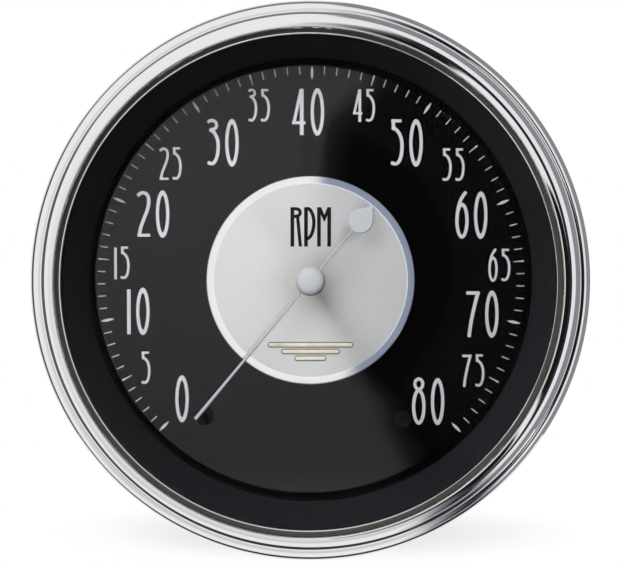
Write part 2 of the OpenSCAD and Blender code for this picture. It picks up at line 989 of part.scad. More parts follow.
module selector_shaft() {
    end = back_rear - 0.6;
    color("white")
        stand()
            translate([0, selector_y, 0])
                difference() {
                    plate(selector_r, end, board_rear - 1 - run_gap);
                    translate([0, 0, end])
                        cube([2 * selector_r - 1, 1, 2], center = true);
                }
}

module terminal_block() {
    color("black")
        stand()
            difference() {
                translate([0, -terminal_y, 0])
                    union() {
                        block(
                            2 * (terminal_pitch + terminal_end), terminal_block_w,
                            back_rear - terminal_ear_t, back_rear
                        );
                        block(
                            2 * (terminal_pitch + terminal_end - 5), terminal_block_w,
                            back_rear - terminal_block_h, back_rear
                        );
                    }
                at_terminals()
                    block(terminal_w + 2 * slip_gap, terminal_t + 2 * slip_gap, back_rear - terminal_block_h - 1, back_rear + 1);
                pair(rivet_x, -terminal_y)
                    plate(screw_r + screw_clear, back_rear - terminal_block_h - 1, back_rear + 1);
            }
}

module terminal_blades() {
    end = back_rear - terminal_block_h - terminal_len;
    half = terminal_w / 2;
    bevel = 0.15 * terminal_w;
    color("goldenrod")
        stand()
            at_terminals()
                difference() {
                    rotate([90, 0, 0])
                        linear_extrude(terminal_t, center = true)
                            polygon([
                                [-half, board_front],
                                [-half, end + bevel],
                                [bevel - half, end],
                                [half - bevel, end],
                                [half, end + bevel],
                                [half, board_front]
                            ]);
                    translate([0, 0, end + 0.45 * terminal_len])
                        rotate([90, 0, 0])
                            cylinder(r = 0.14 * terminal_w, h = 4 * terminal_t, center = true);
                }
}

module terminal_rivets() {
    head_r = 1.7 * screw_r;
    head_h = 0.8 * screw_r;
    ear = back_rear - terminal_ear_t;
    color("silver")
        stand()
            pair(rivet_x, -terminal_y)
                union() {
                    plate(screw_r, ear, back_front);
                    plate(head_r, ear - head_h, ear);
                    plate(head_r, back_front, back_front + head_h);
                }
}

module stud(side) {
    color("lightgray")
        stand()
            translate([side * stud_x, 0, 0])
                union() {
                    rotate_extrude()
                        polygon([
                            [0, stud_end],
                            [stud_r - stud_chamfer, stud_end],
                            [stud_r, stud_end + stud_chamfer],
                            [stud_r, back_front + stud_head_h],
                            [0, back_front + stud_head_h]
                        ]);
                    plate(2 * stud_r, back_front, back_front + stud_head_h);
                }
}

module stud_left() {
    stud(-1);
}

module stud_right() {
    stud(1);
}

module stud_nuts() {
    color("silver")
        stand()
            pair(stud_x, 0)
                difference() {
                    translate([0, 0, back_rear - jam_nut_h])
                        cylinder(r = 2.3 * stud_r, h = jam_nut_h, $fn = 6);
                    plate(stud_r + press_gap, back_rear - jam_nut_h - 1, back_rear + 1);
                }
}

module lamp_holder(side) {
    flange_front_z = back_rear - run_gap;
    flange_rear_z = flange_front_z - lamp_flange_t;
    grip_rear = flange_rear_z - lamp_grip_h;
    lug_rear = back_front + run_gap;
    color("white")
        stand()
            translate([side * lamp_x, lamp_y, 0])
                difference() {
                    union() {
                        plate(lamp_barrel_r, back_rear - 1, lamp_top);
                        plate(lamp_flange_r, flange_rear_z, flange_front_z);
                        block(2 * lamp_lug_r, lamp_lug_w, lug_rear, lug_rear + lamp_lug_t);
                        difference() {
                            plate(lamp_barrel_r + lamp_flute_r, grip_rear, back_rear - 1);
                            for (turn = [0:30:330])
                                rotate([0, 0, turn])
                                    translate([lamp_barrel_r + 1.4 * lamp_flute_r, 0, 0])
                                        plate(lamp_flute_r, grip_rear - 1, flange_rear_z);
                        }
                    }
                    plate(bulb_r + slip_gap, lamp_top - lamp_well, lamp_top + 1);
                    pair(2.4, 0)
                        block(0.8, 3.4, grip_rear - 1, grip_rear + 4);
                }
}

module lamp_holder_left() {
    lamp_holder(-1);
}

module lamp_holder_right() {
    lamp_holder(1);
}

module bulb(side) {
    low = lamp_top - lamp_well;
    color("lightyellow", 0.6)
        stand()
            translate([side * lamp_x, lamp_y, 0])
                union() {
                    plate(bulb_r, low, low + bulb_len - bulb_r);
                    translate([0, 0, low + bulb_len - bulb_r])
                        sphere(r = bulb_r);
                }
}

module bulb_left() {
    bulb(-1);
}

module bulb_right() {
    bulb(1);
}

// Clamp

// The clamp seen from above: feet, legs and bridge, bent from one strap
function clamp_outline() =
    let (bend_x = clamp_in - clamp_bend, bend_z = bridge_front + clamp_bend, outer_bend = clamp_bend + clamp_t)
    concat(
        [[-clamp_in, -panel_t]],
        arc([-bend_x, bend_z], clamp_bend, 180, 270),
        arc([bend_x, bend_z], clamp_bend, 270, 360),
        [[clamp_in, -panel_t], [clamp_out, -panel_t]],
        arc([bend_x, bend_z], outer_bend, 0, -90),
        arc([-bend_x, bend_z], outer_bend, 270, 180),
        [[-clamp_out, -panel_t]]
    );

module clamp() {
    color("silver")
        stand()
            difference() {
                rotate([90, 0, 0])
                    translate([0, 0, -clamp_w / 2])
                        linear_extrude(clamp_w)
                            polygon(clamp_outline());
                pair(stud_x, 0)
                    plate(stud_hole_r, bridge_rear - 1, bridge_front + 1);
            }
}

module lock_washers() {
    color("gray")
        stand()
            pair(stud_x, 0)
                difference() {
                    ring(2 * stud_r, stud_r + slip_gap, bridge_rear - washer_t, bridge_rear);
                    translate([0, 0, bridge_rear - washer_t / 2])
                        rotate([20, 0, 0])
                            translate([stud_r * 1.5, 0, 0])
                                cube([2 * stud_r, 0.5, 3 * washer_t], center = true);
                }
}

module thumb_nut(side) {
    teeth = 30;
    tooth = 0.05 * thumb_nut_r;
    rear = nut_front - thumb_nut_h;
    knurl_front = nut_front - 1;
    color("gainsboro")
        stand()
            translate([side * stud_x, 0, 0])
                difference() {
                    union() {
                        translate([0, 0, rear])
                            linear_extrude(knurl_front - rear)
                                polygon([
                                    for (i = [0:2 * teeth - 1])
                                        (thumb_nut_r - (i % 2) * tooth)
                                            * [cos(i * 180 / teeth), sin(i * 180 / teeth)]
                                ]);
                        plate(thumb_nut_r - 1.6, knurl_front - eps, nut_front);
                    }
                    plate(stud_hole_r, rear - 1, nut_front + 1);
                }
}

module thumb_nut_left() {
    thumb_nut(-1);
}

module thumb_nut_right() {
    thumb_nut(1);
}

case();
bezel();
glass();
glass_gasket();
visor();
dial();
scale_marks();
centre_disc();
disc_ornament();
stop_pins();
light_box();
bobbin_upper();
bobbin_lower();
coil_inner();
coil_outer();
shield_can();
upper_bearing();
lower_bearing();
circuit_board();
board_posts();
board_screws();
case_screws();
capacitors();
chips();
resistors();
trimmer();
selector_switch();
terminal_block();
terminal_blades();
terminal_rivets();
stud_left();
stud_right();
stud_nuts();
pointer_blade();
pointer_cap();
pointer_bush();
spindle();
rotor_magnet();
selector_shaft();
lamp_holder_left();
lamp_holder_right();
bulb_left();
bulb_right();
clamp();
lock_washers();
thumb_nut_left();
thumb_nut_right();
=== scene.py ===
"""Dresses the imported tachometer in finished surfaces, and sets its stage, lights and camera.

Lengths in the piece functions are millimetres in the dial's own frame: x to the viewer's right, y up the dial,
z towards the viewer, all from the point on the gauge's axis where the bezel seats on the dash panel.
stand() turns them into the row frame in metres.
"""

import json
import math

import bmesh
import bpy
import numpy as np
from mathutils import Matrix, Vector
from mathutils.geometry import delaunay_2d_cdt


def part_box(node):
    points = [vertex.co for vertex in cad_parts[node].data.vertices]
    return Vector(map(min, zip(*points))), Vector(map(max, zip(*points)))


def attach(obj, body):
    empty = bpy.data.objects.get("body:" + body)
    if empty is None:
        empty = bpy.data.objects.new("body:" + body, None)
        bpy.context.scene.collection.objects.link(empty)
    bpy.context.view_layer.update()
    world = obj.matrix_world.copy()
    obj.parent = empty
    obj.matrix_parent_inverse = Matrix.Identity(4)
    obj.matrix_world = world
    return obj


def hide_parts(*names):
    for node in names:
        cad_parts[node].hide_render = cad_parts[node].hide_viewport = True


bl_info = {
    "name": "Dash tachometer",
    "version": (1, 0, 0),
    "blender": (4, 5, 0),
    "location": "View3D > Sidebar > Tachometer",
    "description": "Dresses the tachometer's frame in chrome, glass, print and hardware",
    "category": "Object",
}

MM = 0.001
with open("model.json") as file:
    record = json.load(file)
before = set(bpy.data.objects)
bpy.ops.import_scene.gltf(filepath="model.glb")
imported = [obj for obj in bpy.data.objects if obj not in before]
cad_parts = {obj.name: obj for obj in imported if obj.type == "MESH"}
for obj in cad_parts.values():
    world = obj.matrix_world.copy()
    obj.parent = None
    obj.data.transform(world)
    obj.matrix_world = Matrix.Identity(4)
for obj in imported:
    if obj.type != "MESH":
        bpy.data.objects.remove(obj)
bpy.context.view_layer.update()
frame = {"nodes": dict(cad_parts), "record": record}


def cad_level(node, end):
    """How far a node reaches along the dial's z, in mm: end 0 is its rear and end 1 its front."""
    low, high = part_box(node)
    return -(high.y if end == 0 else low.y) / MM


def cad_radius(node):
    """How far a round node on the axis reaches from it, in mm."""
    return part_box(node)[1].x / MM


BEZEL_R = cad_radius("bezel")
DIAL_FACE = cad_level("dial", 1)
DISC_FACE = cad_level("centre_disc", 1)
# The outside of the can's back, and the thickness of its sheet
BACK, WALL = -46.0, 1.0


# ---- Shapes as whole arrays ----


def stand(points):
    """The dial's frame in mm to the row frame in metres: (x, y, z) goes to (x, -z, y)."""
    p = np.asarray(points, float)
    return np.stack([p[..., 0], -p[..., 2], p[..., 1]], -1) * MM


def grid_faces(rows, cols, wrap_rows=False, wrap_cols=False):
    """Quads between neighbouring points of a rows by cols grid, which may close on itself each way."""
    i, j = np.meshgrid(
        np.arange(rows if wrap_rows else rows - 1), np.arange(cols if wrap_cols else cols - 1), indexing="ij"
    )
    down, across = (i + 1) % rows, (j + 1) % cols
    return np.stack([i * cols + j, i * cols + across, down * cols + across, down * cols + j], -1).reshape(-1, 4)


def arc(centre, radius, start, end, steps=12):
    """Points at centre + radius (cos a, sin a), with a going evenly from start to end degrees."""
    a = np.radians(np.linspace(start, end, steps + 1))
    return np.stack([centre[0] + radius * np.cos(a), centre[1] + radius * np.sin(a)], -1)


def carried(points, radius, start, end, steps):
    """Points with an arc added at their end: its centre lies radius behind the last one, against start degrees."""
    a = math.radians(start)
    centre = points[-1] - radius * np.array([math.cos(a), math.sin(a)])
    return np.concatenate([points, arc(centre, radius, start, end, steps)[1:]])


def stepped(start, end, step):
    """Points along a straight line, no further apart than step, without its start."""
    count = max(1, math.ceil(math.dist(start, end) / step))
    return np.linspace(start, end, count + 1)[1:]


def turned(profile, turns, closed=False, centre=(0, 0), shape=None):
    """A surface of revolution: point (i, j) is profile point i (radius, z) turned by 2 pi j / turns about the axis.

    shape(radius, z, angle) may change the radius, for threads, knurls and hexagons.
    """
    p = np.asarray(profile, float)
    angle = np.linspace(0, 2 * np.pi, turns, endpoint=False)[None, :]
    z = np.repeat(p[:, 1:], turns, 1)
    r = np.repeat(p[:, :1], turns, 1)
    if shape:
        r = shape(r, z, angle)
    points = np.stack([centre[0] + r * np.cos(angle), centre[1] + r * np.sin(angle), z], -1)
    return points.reshape(-1, 3), grid_faces(len(p), turns, closed, True)


def swept(rings):
    """A tube through equal rings of points, given as an array (ring, point, 3), with a flat cap at each end."""
    rings = np.asarray(rings, float)
    count, around = rings.shape[:2]
    faces = grid_faces(count, around, False, True).tolist()
    faces += [list(range(around)), list(range((count - 1) * around, count * around))[::-1]]
    return rings.reshape(-1, 3), faces


def smooth_path(points, steps=10):
    """A smooth curve through points: cubics, whose slope at each point is half the chord between its neighbours."""
    p = np.asarray(points, float)
    if len(p) == 2:
        return p
    ends = np.concatenate([[2 * p[0] - p[1]], p, [2 * p[-1] - p[-2]]])
    a, b, c, d = (ends[k : len(ends) - 3 + k, None] for k in range(4))
    t = np.linspace(0, 1, steps, endpoint=False)[None, :, None]
    curve = b + t * (c - a) / 2 + t**2 * (a - 2.5 * b + 2 * c - d / 2) + t**3 * (1.5 * (b - c) + (d - a) / 2)
    return np.concatenate([curve.reshape(-1, 2), p[-1:]])


def edges_of(path, width):
    """The two sides of a stroke: each path point moved half the width along the mitred normal."""
    step = np.diff(path, axis=0)
    step /= np.linalg.norm(step, axis=1, keepdims=True)
    before, after = np.concatenate([step[:1], step]), np.concatenate([step, step[-1:]])
    normal = np.stack([-(before + after)[:, 1], (before + after)[:, 0]], -1)
    normal /= (normal**2).sum(1, keepdims=True) / 2
    return path + normal * width / 2, path - normal * width / 2


def strip(left, right, closed=False):
    """The quads between two lines of equal length, each as four points that run anticlockwise."""
    if closed:
        left, right = (np.concatenate([edge, edge[:1]]) for edge in (left, right))
    quads = np.stack([left[:-1], right[:-1], right[1:], left[1:]], 1)
    x, y = quads[..., 0], quads[..., 1]
    area = (x * np.roll(y, -1, 1) - y * np.roll(x, -1, 1)).sum(1)
    quads[area < 0] = quads[area < 0, ::-1]
    return quads


def printed(quads, low, high):
    """One solid of print over everything that the quads cover, however they overlap.

    The plane is cut into triangles along every edge. Those inside any quad are kept, as the top and the bottom,
    and an edge that only one of them uses gets a wall.
    """
    flat = np.concatenate(quads).reshape(-1, 2)
    rings = np.arange(len(flat)).reshape(-1, 4).tolist()
    cut = delaunay_2d_cdt([Vector(point) for point in flat.tolist()], [], rings, 0, 1e-5)
    points = np.array([tuple(point) for point in cut[0]])
    kept = np.array([face for face, source in zip(cut[2], cut[5]) if source])
    count = len(points)
    sides = np.concatenate([kept[:, [0, 1]], kept[:, [1, 2]], kept[:, [2, 0]]])
    rim = sides[~np.isin(sides[:, 0] * count + sides[:, 1], sides[:, 1] * count + sides[:, 0])]
    solid = np.concatenate([np.insert(points, 2, low, 1), np.insert(points, 2, high, 1)])
    walls = np.stack([rim[:, 0], rim[:, 1], rim[:, 1] + count, rim[:, 0] + count], 1)
    return solid, (kept + count).tolist() + kept[:, ::-1].tolist() + walls.tolist()


def oval(centre, half_w, half_h, power, steps=64):
    """A closed superellipse: |x / half_w| ^ power + |y / half_h| ^ power = 1."""
    a = np.linspace(0, 2 * np.pi, steps, endpoint=False)
    c, s = np.cos(a), np.sin(a)
    bend = 2 / power
    return np.stack(
        [centre[0] + half_w * np.sign(c) * abs(c) ** bend, centre[1] + half_h * np.sign(s) * abs(s) ** bend], -1
    )


def turn_points(points, degrees):
    """Points turned anticlockwise about the dial's axis, as the viewer sees them."""
    a = math.radians(degrees)
    p = np.array(points, float)
    x, y = p[:, 0].copy(), p[:, 1].copy()
    p[:, 0], p[:, 1] = x * math.cos(a) - y * math.sin(a), x * math.sin(a) + y * math.cos(a)
    return p


def moved(part, x=0.0, y=0.0):
    """A part, as points and faces, moved across the dial's frame."""
    return part[0] + np.array([x, y, 0.0]), part[1]


# ---- Pieces ----


def make_piece(name, parts, body, finish, replaces=(), crease=32):
    """Joins parts of points and faces into one mesh in the row frame, closes its seams and rides it on a body."""
    verts, faces, start = [], [], 0
    for points, part_faces in parts:
        verts.append(stand(points))
        rows = part_faces.tolist() if isinstance(part_faces, np.ndarray) else part_faces
        faces += [[start + k for k in face] for face in rows]
        start += len(points)
    mesh = bpy.data.meshes.new(name)
    mesh.from_pydata(np.concatenate(verts).tolist(), [], faces)
    bm = bmesh.new()
    bm.from_mesh(mesh)
    bmesh.ops.remove_doubles(bm, verts=bm.verts, dist=1e-7)
    bmesh.ops.dissolve_degenerate(bm, edges=bm.edges, dist=1e-8)
    bmesh.ops.recalc_face_normals(bm, faces=bm.faces)
    bm.to_mesh(mesh)
    bm.free()
    return dress_piece(bpy.data.objects.new(name, mesh), body, finish, replaces, crease)


def dress_piece(piece, body, finish, replaces=(), crease=32):
    """Smooths a piece except at edges sharper than crease degrees, and gives it its finish and body."""
    mesh = piece.data
    bpy.context.scene.collection.objects.link(piece)
    mesh.polygons.foreach_set("use_smooth", np.ones(len(mesh.polygons), bool))
    mesh.set_sharp_from_angle(angle=math.radians(crease))
    mesh.materials.clear()
    mesh.materials.append(finish)
    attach(piece, body)
    if replaces:
        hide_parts(*replaces)
    return piece


def softened(name, node, body, finish, width):
    """A copy of a CAD node with its triangles merged into faces and its sharp edges rounded over width mm."""
    mesh = frame["nodes"][node].data.copy()
    bm = bmesh.new()
    bm.from_mesh(mesh)
    bmesh.ops.remove_doubles(bm, verts=bm.verts, dist=2e-6)
    bmesh.ops.dissolve_limit(bm, angle_limit=math.radians(0.5), verts=bm.verts, edges=bm.edges)
    bm.to_mesh(mesh)
    bm.free()
    mesh.name = name
    piece = dress_piece(bpy.data.objects.new(name, mesh), body, finish, (node,), 35)
    bevel = piece.modifiers.new("rounded_edges", "BEVEL")
    bevel.width = width * MM
    bevel.segments = 2
    bevel.limit_method = "ANGLE"
    bevel.angle_limit = math.radians(38)
    bevel.harden_normals = True
    return piece


def dress_nodes(finish, *nodes):
    """Gives CAD nodes a finish, and leaves their meshes alone."""
    for node in nodes:
        mesh = frame["nodes"][node].data
        mesh.materials.clear()
        mesh.materials.append(finish)


# ---- Finishes ----


class Nodes:
    """A node tree, where each input is a value or another node's socket."""

    def __init__(self, tree):
        self.tree = tree

    def node(self, kind, settings=None, **inputs):
        """A new node, with its settings and inputs: an input's key is its name, or the letter i and its number."""
        made = self.tree.nodes.new(kind)
        for key, value in (settings or {}).items():
            setattr(made, key, value)
        for key, value in inputs.items():
            socket = made.inputs[int(key[1:])] if key[0] == "i" and key[1:].isdigit() else made.inputs[key]
            if isinstance(value, bpy.types.NodeSocket):
                self.tree.links.new(value, socket)
            else:
                socket.default_value = value
        return made

    def math(self, operation, a, b=0.0):
        """One sum of two values."""
        return self.node("ShaderNodeMath", {"operation": operation}, i0=a, i1=b).outputs[0]

    def surface(self, share, first, second):
        """Ends a material's tree in two shaders: share of the second, and the rest of the first."""
        mix = self.node("ShaderNodeMixShader", i0=share, i1=first.outputs[0], i2=second.outputs[0])
        output = self.tree.nodes.get("Material Output") or self.node("ShaderNodeOutputMaterial")
        self.tree.links.new(mix.outputs[0], output.inputs["Surface"])


class Finish(Nodes):
    """A node material around one Principled shader, whose patterns read Object coordinates."""

    def __init__(self, name, colour, roughness, metallic=0.0, **sockets):
        self.material = bpy.data.materials.new(name)
        self.material.use_nodes = True
        super().__init__(self.material.node_tree)
        self.shader = self.tree.nodes["Principled BSDF"]
        self.colour = (*colour, 1.0)
        values = {"Base Color": self.colour, "Roughness": roughness, "Metallic": metallic, **sockets}
        for key, value in values.items():
            self.shader.inputs[key].default_value = value
        self.place = self.node("ShaderNodeTexCoord").outputs["Object"]

    def scaled(self, x, y, z, shift=(0, 0, 0)):
        """The place, moved and then stretched along the row's axes."""
        return self.node("ShaderNodeMapping", Vector=self.place, Scale=(x, y, z), Location=shift).outputs[0]

    def noise(self, per_mm, detail, place=None):
        """Noise of so many cells per mm."""
        made = self.node("ShaderNodeTexNoise", Vector=place or self.place, Scale=per_mm / MM, Detail=detail)
        return made.outputs["Fac"]

    def rings(self, per_mm, detail):
        """Noise that changes only with the distance from the gauge's axis."""
        distance = self.length(self.scaled(1, 0, 1))
        made = self.node(
            "ShaderNodeTexNoise", {"noise_dimensions": "1D"}, W=distance, Scale=per_mm / MM, Detail=detail
        )
        return made.outputs["Fac"]

    def length(self, vector):
        """The distance from the origin of a place."""
        return self.node("ShaderNodeVectorMath", {"operation": "LENGTH"}, i0=vector).outputs["Value"]

    def span(self, value, low, high, to_low, to_high):
        """A value's range from low to high, stretched to the range from to_low to to_high."""
        return self.node(
            "ShaderNodeMapRange",
            **{"Value": value, "From Min": low, "From Max": high, "To Min": to_low, "To Max": to_high},
        ).outputs[0]

    def tint(self, factor, first, second):
        """Base colour between two shades of the finish's own colour: each is a gain on it."""
        ramp = self.node("ShaderNodeValToRGB", Fac=factor)
        ramp.color_ramp.elements[0].position = 0.3
        ramp.color_ramp.elements[1].position = 0.7
        for element, gain in zip(ramp.color_ramp.elements, (first, second)):
            element.color = tuple(min(1.0, c * gain) for c in self.colour[:3]) + (1.0,)
        self.tree.links.new(ramp.outputs["Color"], self.shader.inputs["Base Color"])
        return ramp

    def rough(self, factor, low, high):
        """Roughness between low and high."""
        self.tree.links.new(self.span(factor, 0.3, 0.7, low, high), self.shader.inputs["Roughness"])

    def bump(self, height, depth_mm, strength):
        """Relief of so many mm."""
        made = self.node("ShaderNodeBump", Height=height, Distance=depth_mm * MM, Strength=strength)
        self.tree.links.new(made.outputs["Normal"], self.shader.inputs["Normal"])

    def grain(self, tint, rough, bump):
        """The material with noise in its shade, its gloss and its relief.

        Each is given as the noise's scale per mm, its detail, and a low and a high value. The relief's two
        values are its depth in mm and its strength.
        """
        self.tint(self.noise(*tint[:2]), *tint[2:])
        self.rough(self.noise(*rough[:2]), *rough[2:])
        self.bump(self.noise(*bump[:2]), *bump[2:])
        return self.material


def empty_tree(owner):
    """The node tree of a world or a material, without the nodes it starts with."""
    owner.use_nodes = True
    owner.node_tree.nodes.clear()
    return owner.node_tree


def slot_colour(slot):
    """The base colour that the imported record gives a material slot."""
    for entry in frame["record"]["materials"]:
        if entry["slot"] == slot:
            return tuple(entry["base_color"][:3])
    raise RuntimeError(f"the record has no slot {slot}")


def chrome_finish():
    """Polished chrome with a faint haze that comes and goes."""
    f = Finish("bezel_chrome", (0.8, 0.8, 0.805), 0.04, 1.0)
    f.rough(f.noise(0.25, 4), 0.03, 0.055)
    return f.material


def glass_finish():
    """Clear coated glass that lets lamps through and hardly mirrors."""
    f = Finish("dome_glass", (1, 1, 1), 0.0, IOR=1.07, **{"Transmission Weight": 1.0})
    f.bump(f.noise(0.02, 1), 0.002, 0.2)
    rays = f.node("ShaderNodeLightPath").outputs
    f.surface(rays["Is Shadow Ray"], f.shader, f.node("ShaderNodeBsdfTransparent"))
    return f.material


def dial_finish():
    """Gloss black lacquer: nearly flat, with a very faint orange peel."""
    shine = {"Specular IOR Level": 0.41, "Specular Tint": (0.93, 0.95, 1.0, 1)}
    f = Finish("dial_lacquer", (0.001, 0.001, 0.0012), 0.03, **shine)
    f.rough(f.noise(0.4, 3), 0.03, 0.05)
    f.bump(f.noise(0.35, 2), 0.0006, 0.2)
    return f.material


def visor_finish():
    """Satin black moulding with a fine grain."""
    f = Finish("visor_satin", (0.0135, 0.014, 0.0165), 0.46, **{"Specular IOR Level": 0.1})
    return f.grain((0.5, 3, 0.85, 1.15), (1.5, 4, 0.42, 0.5), (6, 3, 0.004, 0.3))


def print_finish(name, colour, low, high, shine=0.5):
    """Screen print: slightly uneven ink."""
    f = Finish(name, colour, high, **{"Specular IOR Level": shine})
    return f.grain((2.5, 4, 0.95, 1.03), (4, 3, low, high), (9, 2, 0.003, 0.3))


def spun_finish():
    """Spun aluminium: grooves around the axis, so that highlights fan out from the centre."""
    f = Finish("disc_spun_metal", (0.86, 0.865, 0.875), 0.38, 0.85, Anisotropic=1.0, **{"Anisotropic Rotation": 0.25})
    rings = f.rings(3, 5)
    f.tint(rings, 0.965, 1.035)
    f.rough(rings, 0.35, 0.42)
    f.bump(rings, 0.004, 0.3)
    tangent = f.node("ShaderNodeTangent", {"direction_type": "RADIAL", "axis": "Y"})
    f.tree.links.new(tangent.outputs["Tangent"], f.shader.inputs["Tangent"])
    return f.material


def bevel_finish():
    """The disc's polished bevel, with faint turning lines."""
    f = Finish("disc_bevel_polish", (0.84, 0.845, 0.85), 0.12, 1.0)
    rings = f.rings(6, 3)
    f.rough(rings, 0.1, 0.16)
    f.bump(rings, 0.002, 0.2)
    return f.material


def metal_finish(name, colour, low, high, grain=1.2):
    """Plain or plated metal: cloudy shade, uneven gloss and small handling marks."""
    f = Finish(name, colour, (low + high) / 2, 1.0)
    return f.grain((0.3, 4, 0.93, 1.05), (grain, 5, low, high), (grain * 4, 3, 0.003, 0.4))


def satin_finish(name, colour, low, high):
    """Silver paint: fine flakes under a satin surface, nearly even from any side."""
    f = Finish(name, colour, (low + high) / 2, 0.25)
    return f.grain((6, 2, 0.97, 1.03), (2, 3, low, high), (5, 2, 0.002, 0.3))


def turned_finish(name, colour, low, high):
    """Metal from the lathe: fine lines at right angles to the gauge's axis."""
    f = Finish(name, colour, (low + high) / 2, 1.0)
    lines = f.noise(1.0, 3, f.scaled(0.4, 14, 0.4))
    f.tint(f.noise(0.3, 4), 0.93, 1.05)
    f.rough(lines, low, high)
    f.bump(lines, 0.004, 0.4)
    return f.material


def moulded_finish(name, colour, low, high, spread=0.05, shine=0.5):
    """Moulded plastic or rubber: soft mottling and a fine grain."""
    f = Finish(name, colour, (low + high) / 2, **{"Specular IOR Level": shine})
    return f.grain((0.2, 3, 1 - spread, 1 + spread), (1.5, 3, low, high), (5, 3, 0.004, 0.35))


def enamel_finish():
    """Black stoving enamel on the can: satin, with a light stipple."""
    f = Finish("case_enamel", slot_colour("case_black"), 0.36, **{"Coat Weight": 0.15, "Coat Roughness": 0.2})
    return f.grain((0.12, 4, 0.8, 1.25), (0.8, 4, 0.3, 0.44), (2.2, 3, 0.012, 0.35))


def winding_finish():
    """Enamelled wire, laid side by side as fine bands around the bobbin, with painted shade in the grooves between the
    turns.
    """
    f = Finish("copper_wire", slot_colour("copper"), 0.3, 0.9, **{"Coat Weight": 0.5})
    waves = f.node("ShaderNodeTexWave", {"bands_direction": "Z"}, Vector=f.place, Scale=1.6 / MM, Distortion=0.4)
    # The bands are darker where their relief is low, between the turns: that darkening is painted shade
    f.tint(waves.outputs["Fac"], 0.6, 1.1)
    f.bump(waves.outputs["Fac"], 0.05, 0.6)
    return f.material


def board_finish():
    """Solder resist over copper: slightly lighter lines where the tracks run."""
    f = Finish("board_resist", slot_colour("board_green"), 0.3)
    cells = f.node("ShaderNodeTexBrick", Vector=f.place, Scale=0.35 / MM, **{"Mortar Size": 0.03})
    f.tint(cells.outputs["Fac"], 0.85, 1.6)
    f.rough(f.noise(0.8, 3), 0.25, 0.38)
    return f.material


def banded_finish():
    """Lacquered resistor body with colour bands across its length."""
    f = Finish("resistor_lacquer", slot_colour("component_tan"), 0.35)
    waves = f.node("ShaderNodeTexWave", {"bands_direction": "Z"}, Vector=f.place, Scale=0.16 / MM)
    ramp = f.tint(waves.outputs["Fac"], 1.0, 1.05)
    ramp.color_ramp.elements.new(0.92).color = (0.22, 0.04, 0.02, 1)
    f.rough(f.noise(1, 3), 0.3, 0.4)
    return f.material


# ---- Settings ----


def length(title, text, mm):
    """A setting that is a length, with its default in mm."""
    return bpy.props.FloatProperty(name=title, description=text, default=mm * MM, unit="LENGTH", precision=5)


def angle(title, text, degrees):
    """A setting that is an angle, with its default in degrees."""
    return bpy.props.FloatProperty(name=title, description=text, default=math.radians(degrees), unit="ROTATION")


def shade(title, text, colour):
    """A setting that is a colour."""
    return bpy.props.FloatVectorProperty(
        name=title, description=text, default=colour, subtype="COLOR", size=3, min=0, max=1
    )


class FrontSettings(bpy.types.PropertyGroup):
    bezel_radius: length("Bezel radius", "Outside radius of the bezel", BEZEL_R)
    sheet: length("Sheet", "Thickness of the bezel's sheet", 0.7)
    outer_bead: length("Outer bead", "Radius of the bezel's outer bead", 1.3)
    crown: length("Crown", "Radius of the bezel's crown", 1.77)
    dome_rise: length("Dome rise", "Rise of the glass over the lip's underside", 2.25)
    glass_thickness: length("Glass", "Thickness of the glass", 2.0)


class DialSettings(bpy.types.PropertyGroup):
    ink: shade("Ink", "Colour of the numerals and marks", slot_colour("print_white"))
    print_height: length("Print", "How thick the printed ink lies", 0.05)
    disc_radius: length("Disc radius", "Radius of the bright disc at its foot", cad_radius("centre_disc"))
    disc_bevel: length("Disc bevel", "Width of the disc's bevel", 1.4)
    ornament: shade("Ornament", "Colour of the stepped ornament", slot_colour("ornament_cream"))


class PointerSettings(bpy.types.PropertyGroup):
    reach: length("Reach", "Distance from the hub to the tip", 31.1)
    rest: angle("Rest", "Turn from straight up at rest, anticlockwise", 140.19)
    cap_radius: length("Cap radius", "Radius of the hub's cap", 2.55)
    silver: shade("Silver", "Colour of the pointer", (0.5, 0.52, 0.545))


class BackSettings(bpy.types.PropertyGroup):
    stud_radius: length("Stud radius", "Outside radius of the studs' thread", 2.4)
    pitch: length("Thread pitch", "Distance from one turn of the thread to the next", 0.79375)
    edge: length("Edge rounding", "Rounding on the edges of moulded and bent parts", 0.18)


class StageSettings(bpy.types.PropertyGroup):
    distance: length("Camera distance", "Distance from the camera to the dial", 191)
    height: length("Camera height", "Height of the camera over the gauge's axis", 3.8)
    floor: shade("Floor", "Colour of the floor", (0.86, 0.86, 0.86))


class TachometerSettings(bpy.types.PropertyGroup):
    front: bpy.props.PointerProperty(type=FrontSettings, name="Front", description="Bezel, visor and glass")
    dial: bpy.props.PointerProperty(type=DialSettings, name="Dial", description="Print, disc and ornament")
    pointer: bpy.props.PointerProperty(type=PointerSettings, name="Pointer", description="Needle and hub")
    back: bpy.props.PointerProperty(type=BackSettings, name="Back", description="Studs, nuts and fittings")
    stage: bpy.props.PointerProperty(type=StageSettings, name="Stage", description="Floor and camera")


def mm(value):
    """A setting in metres as millimetres."""
    return value / MM


# ---- Front ----


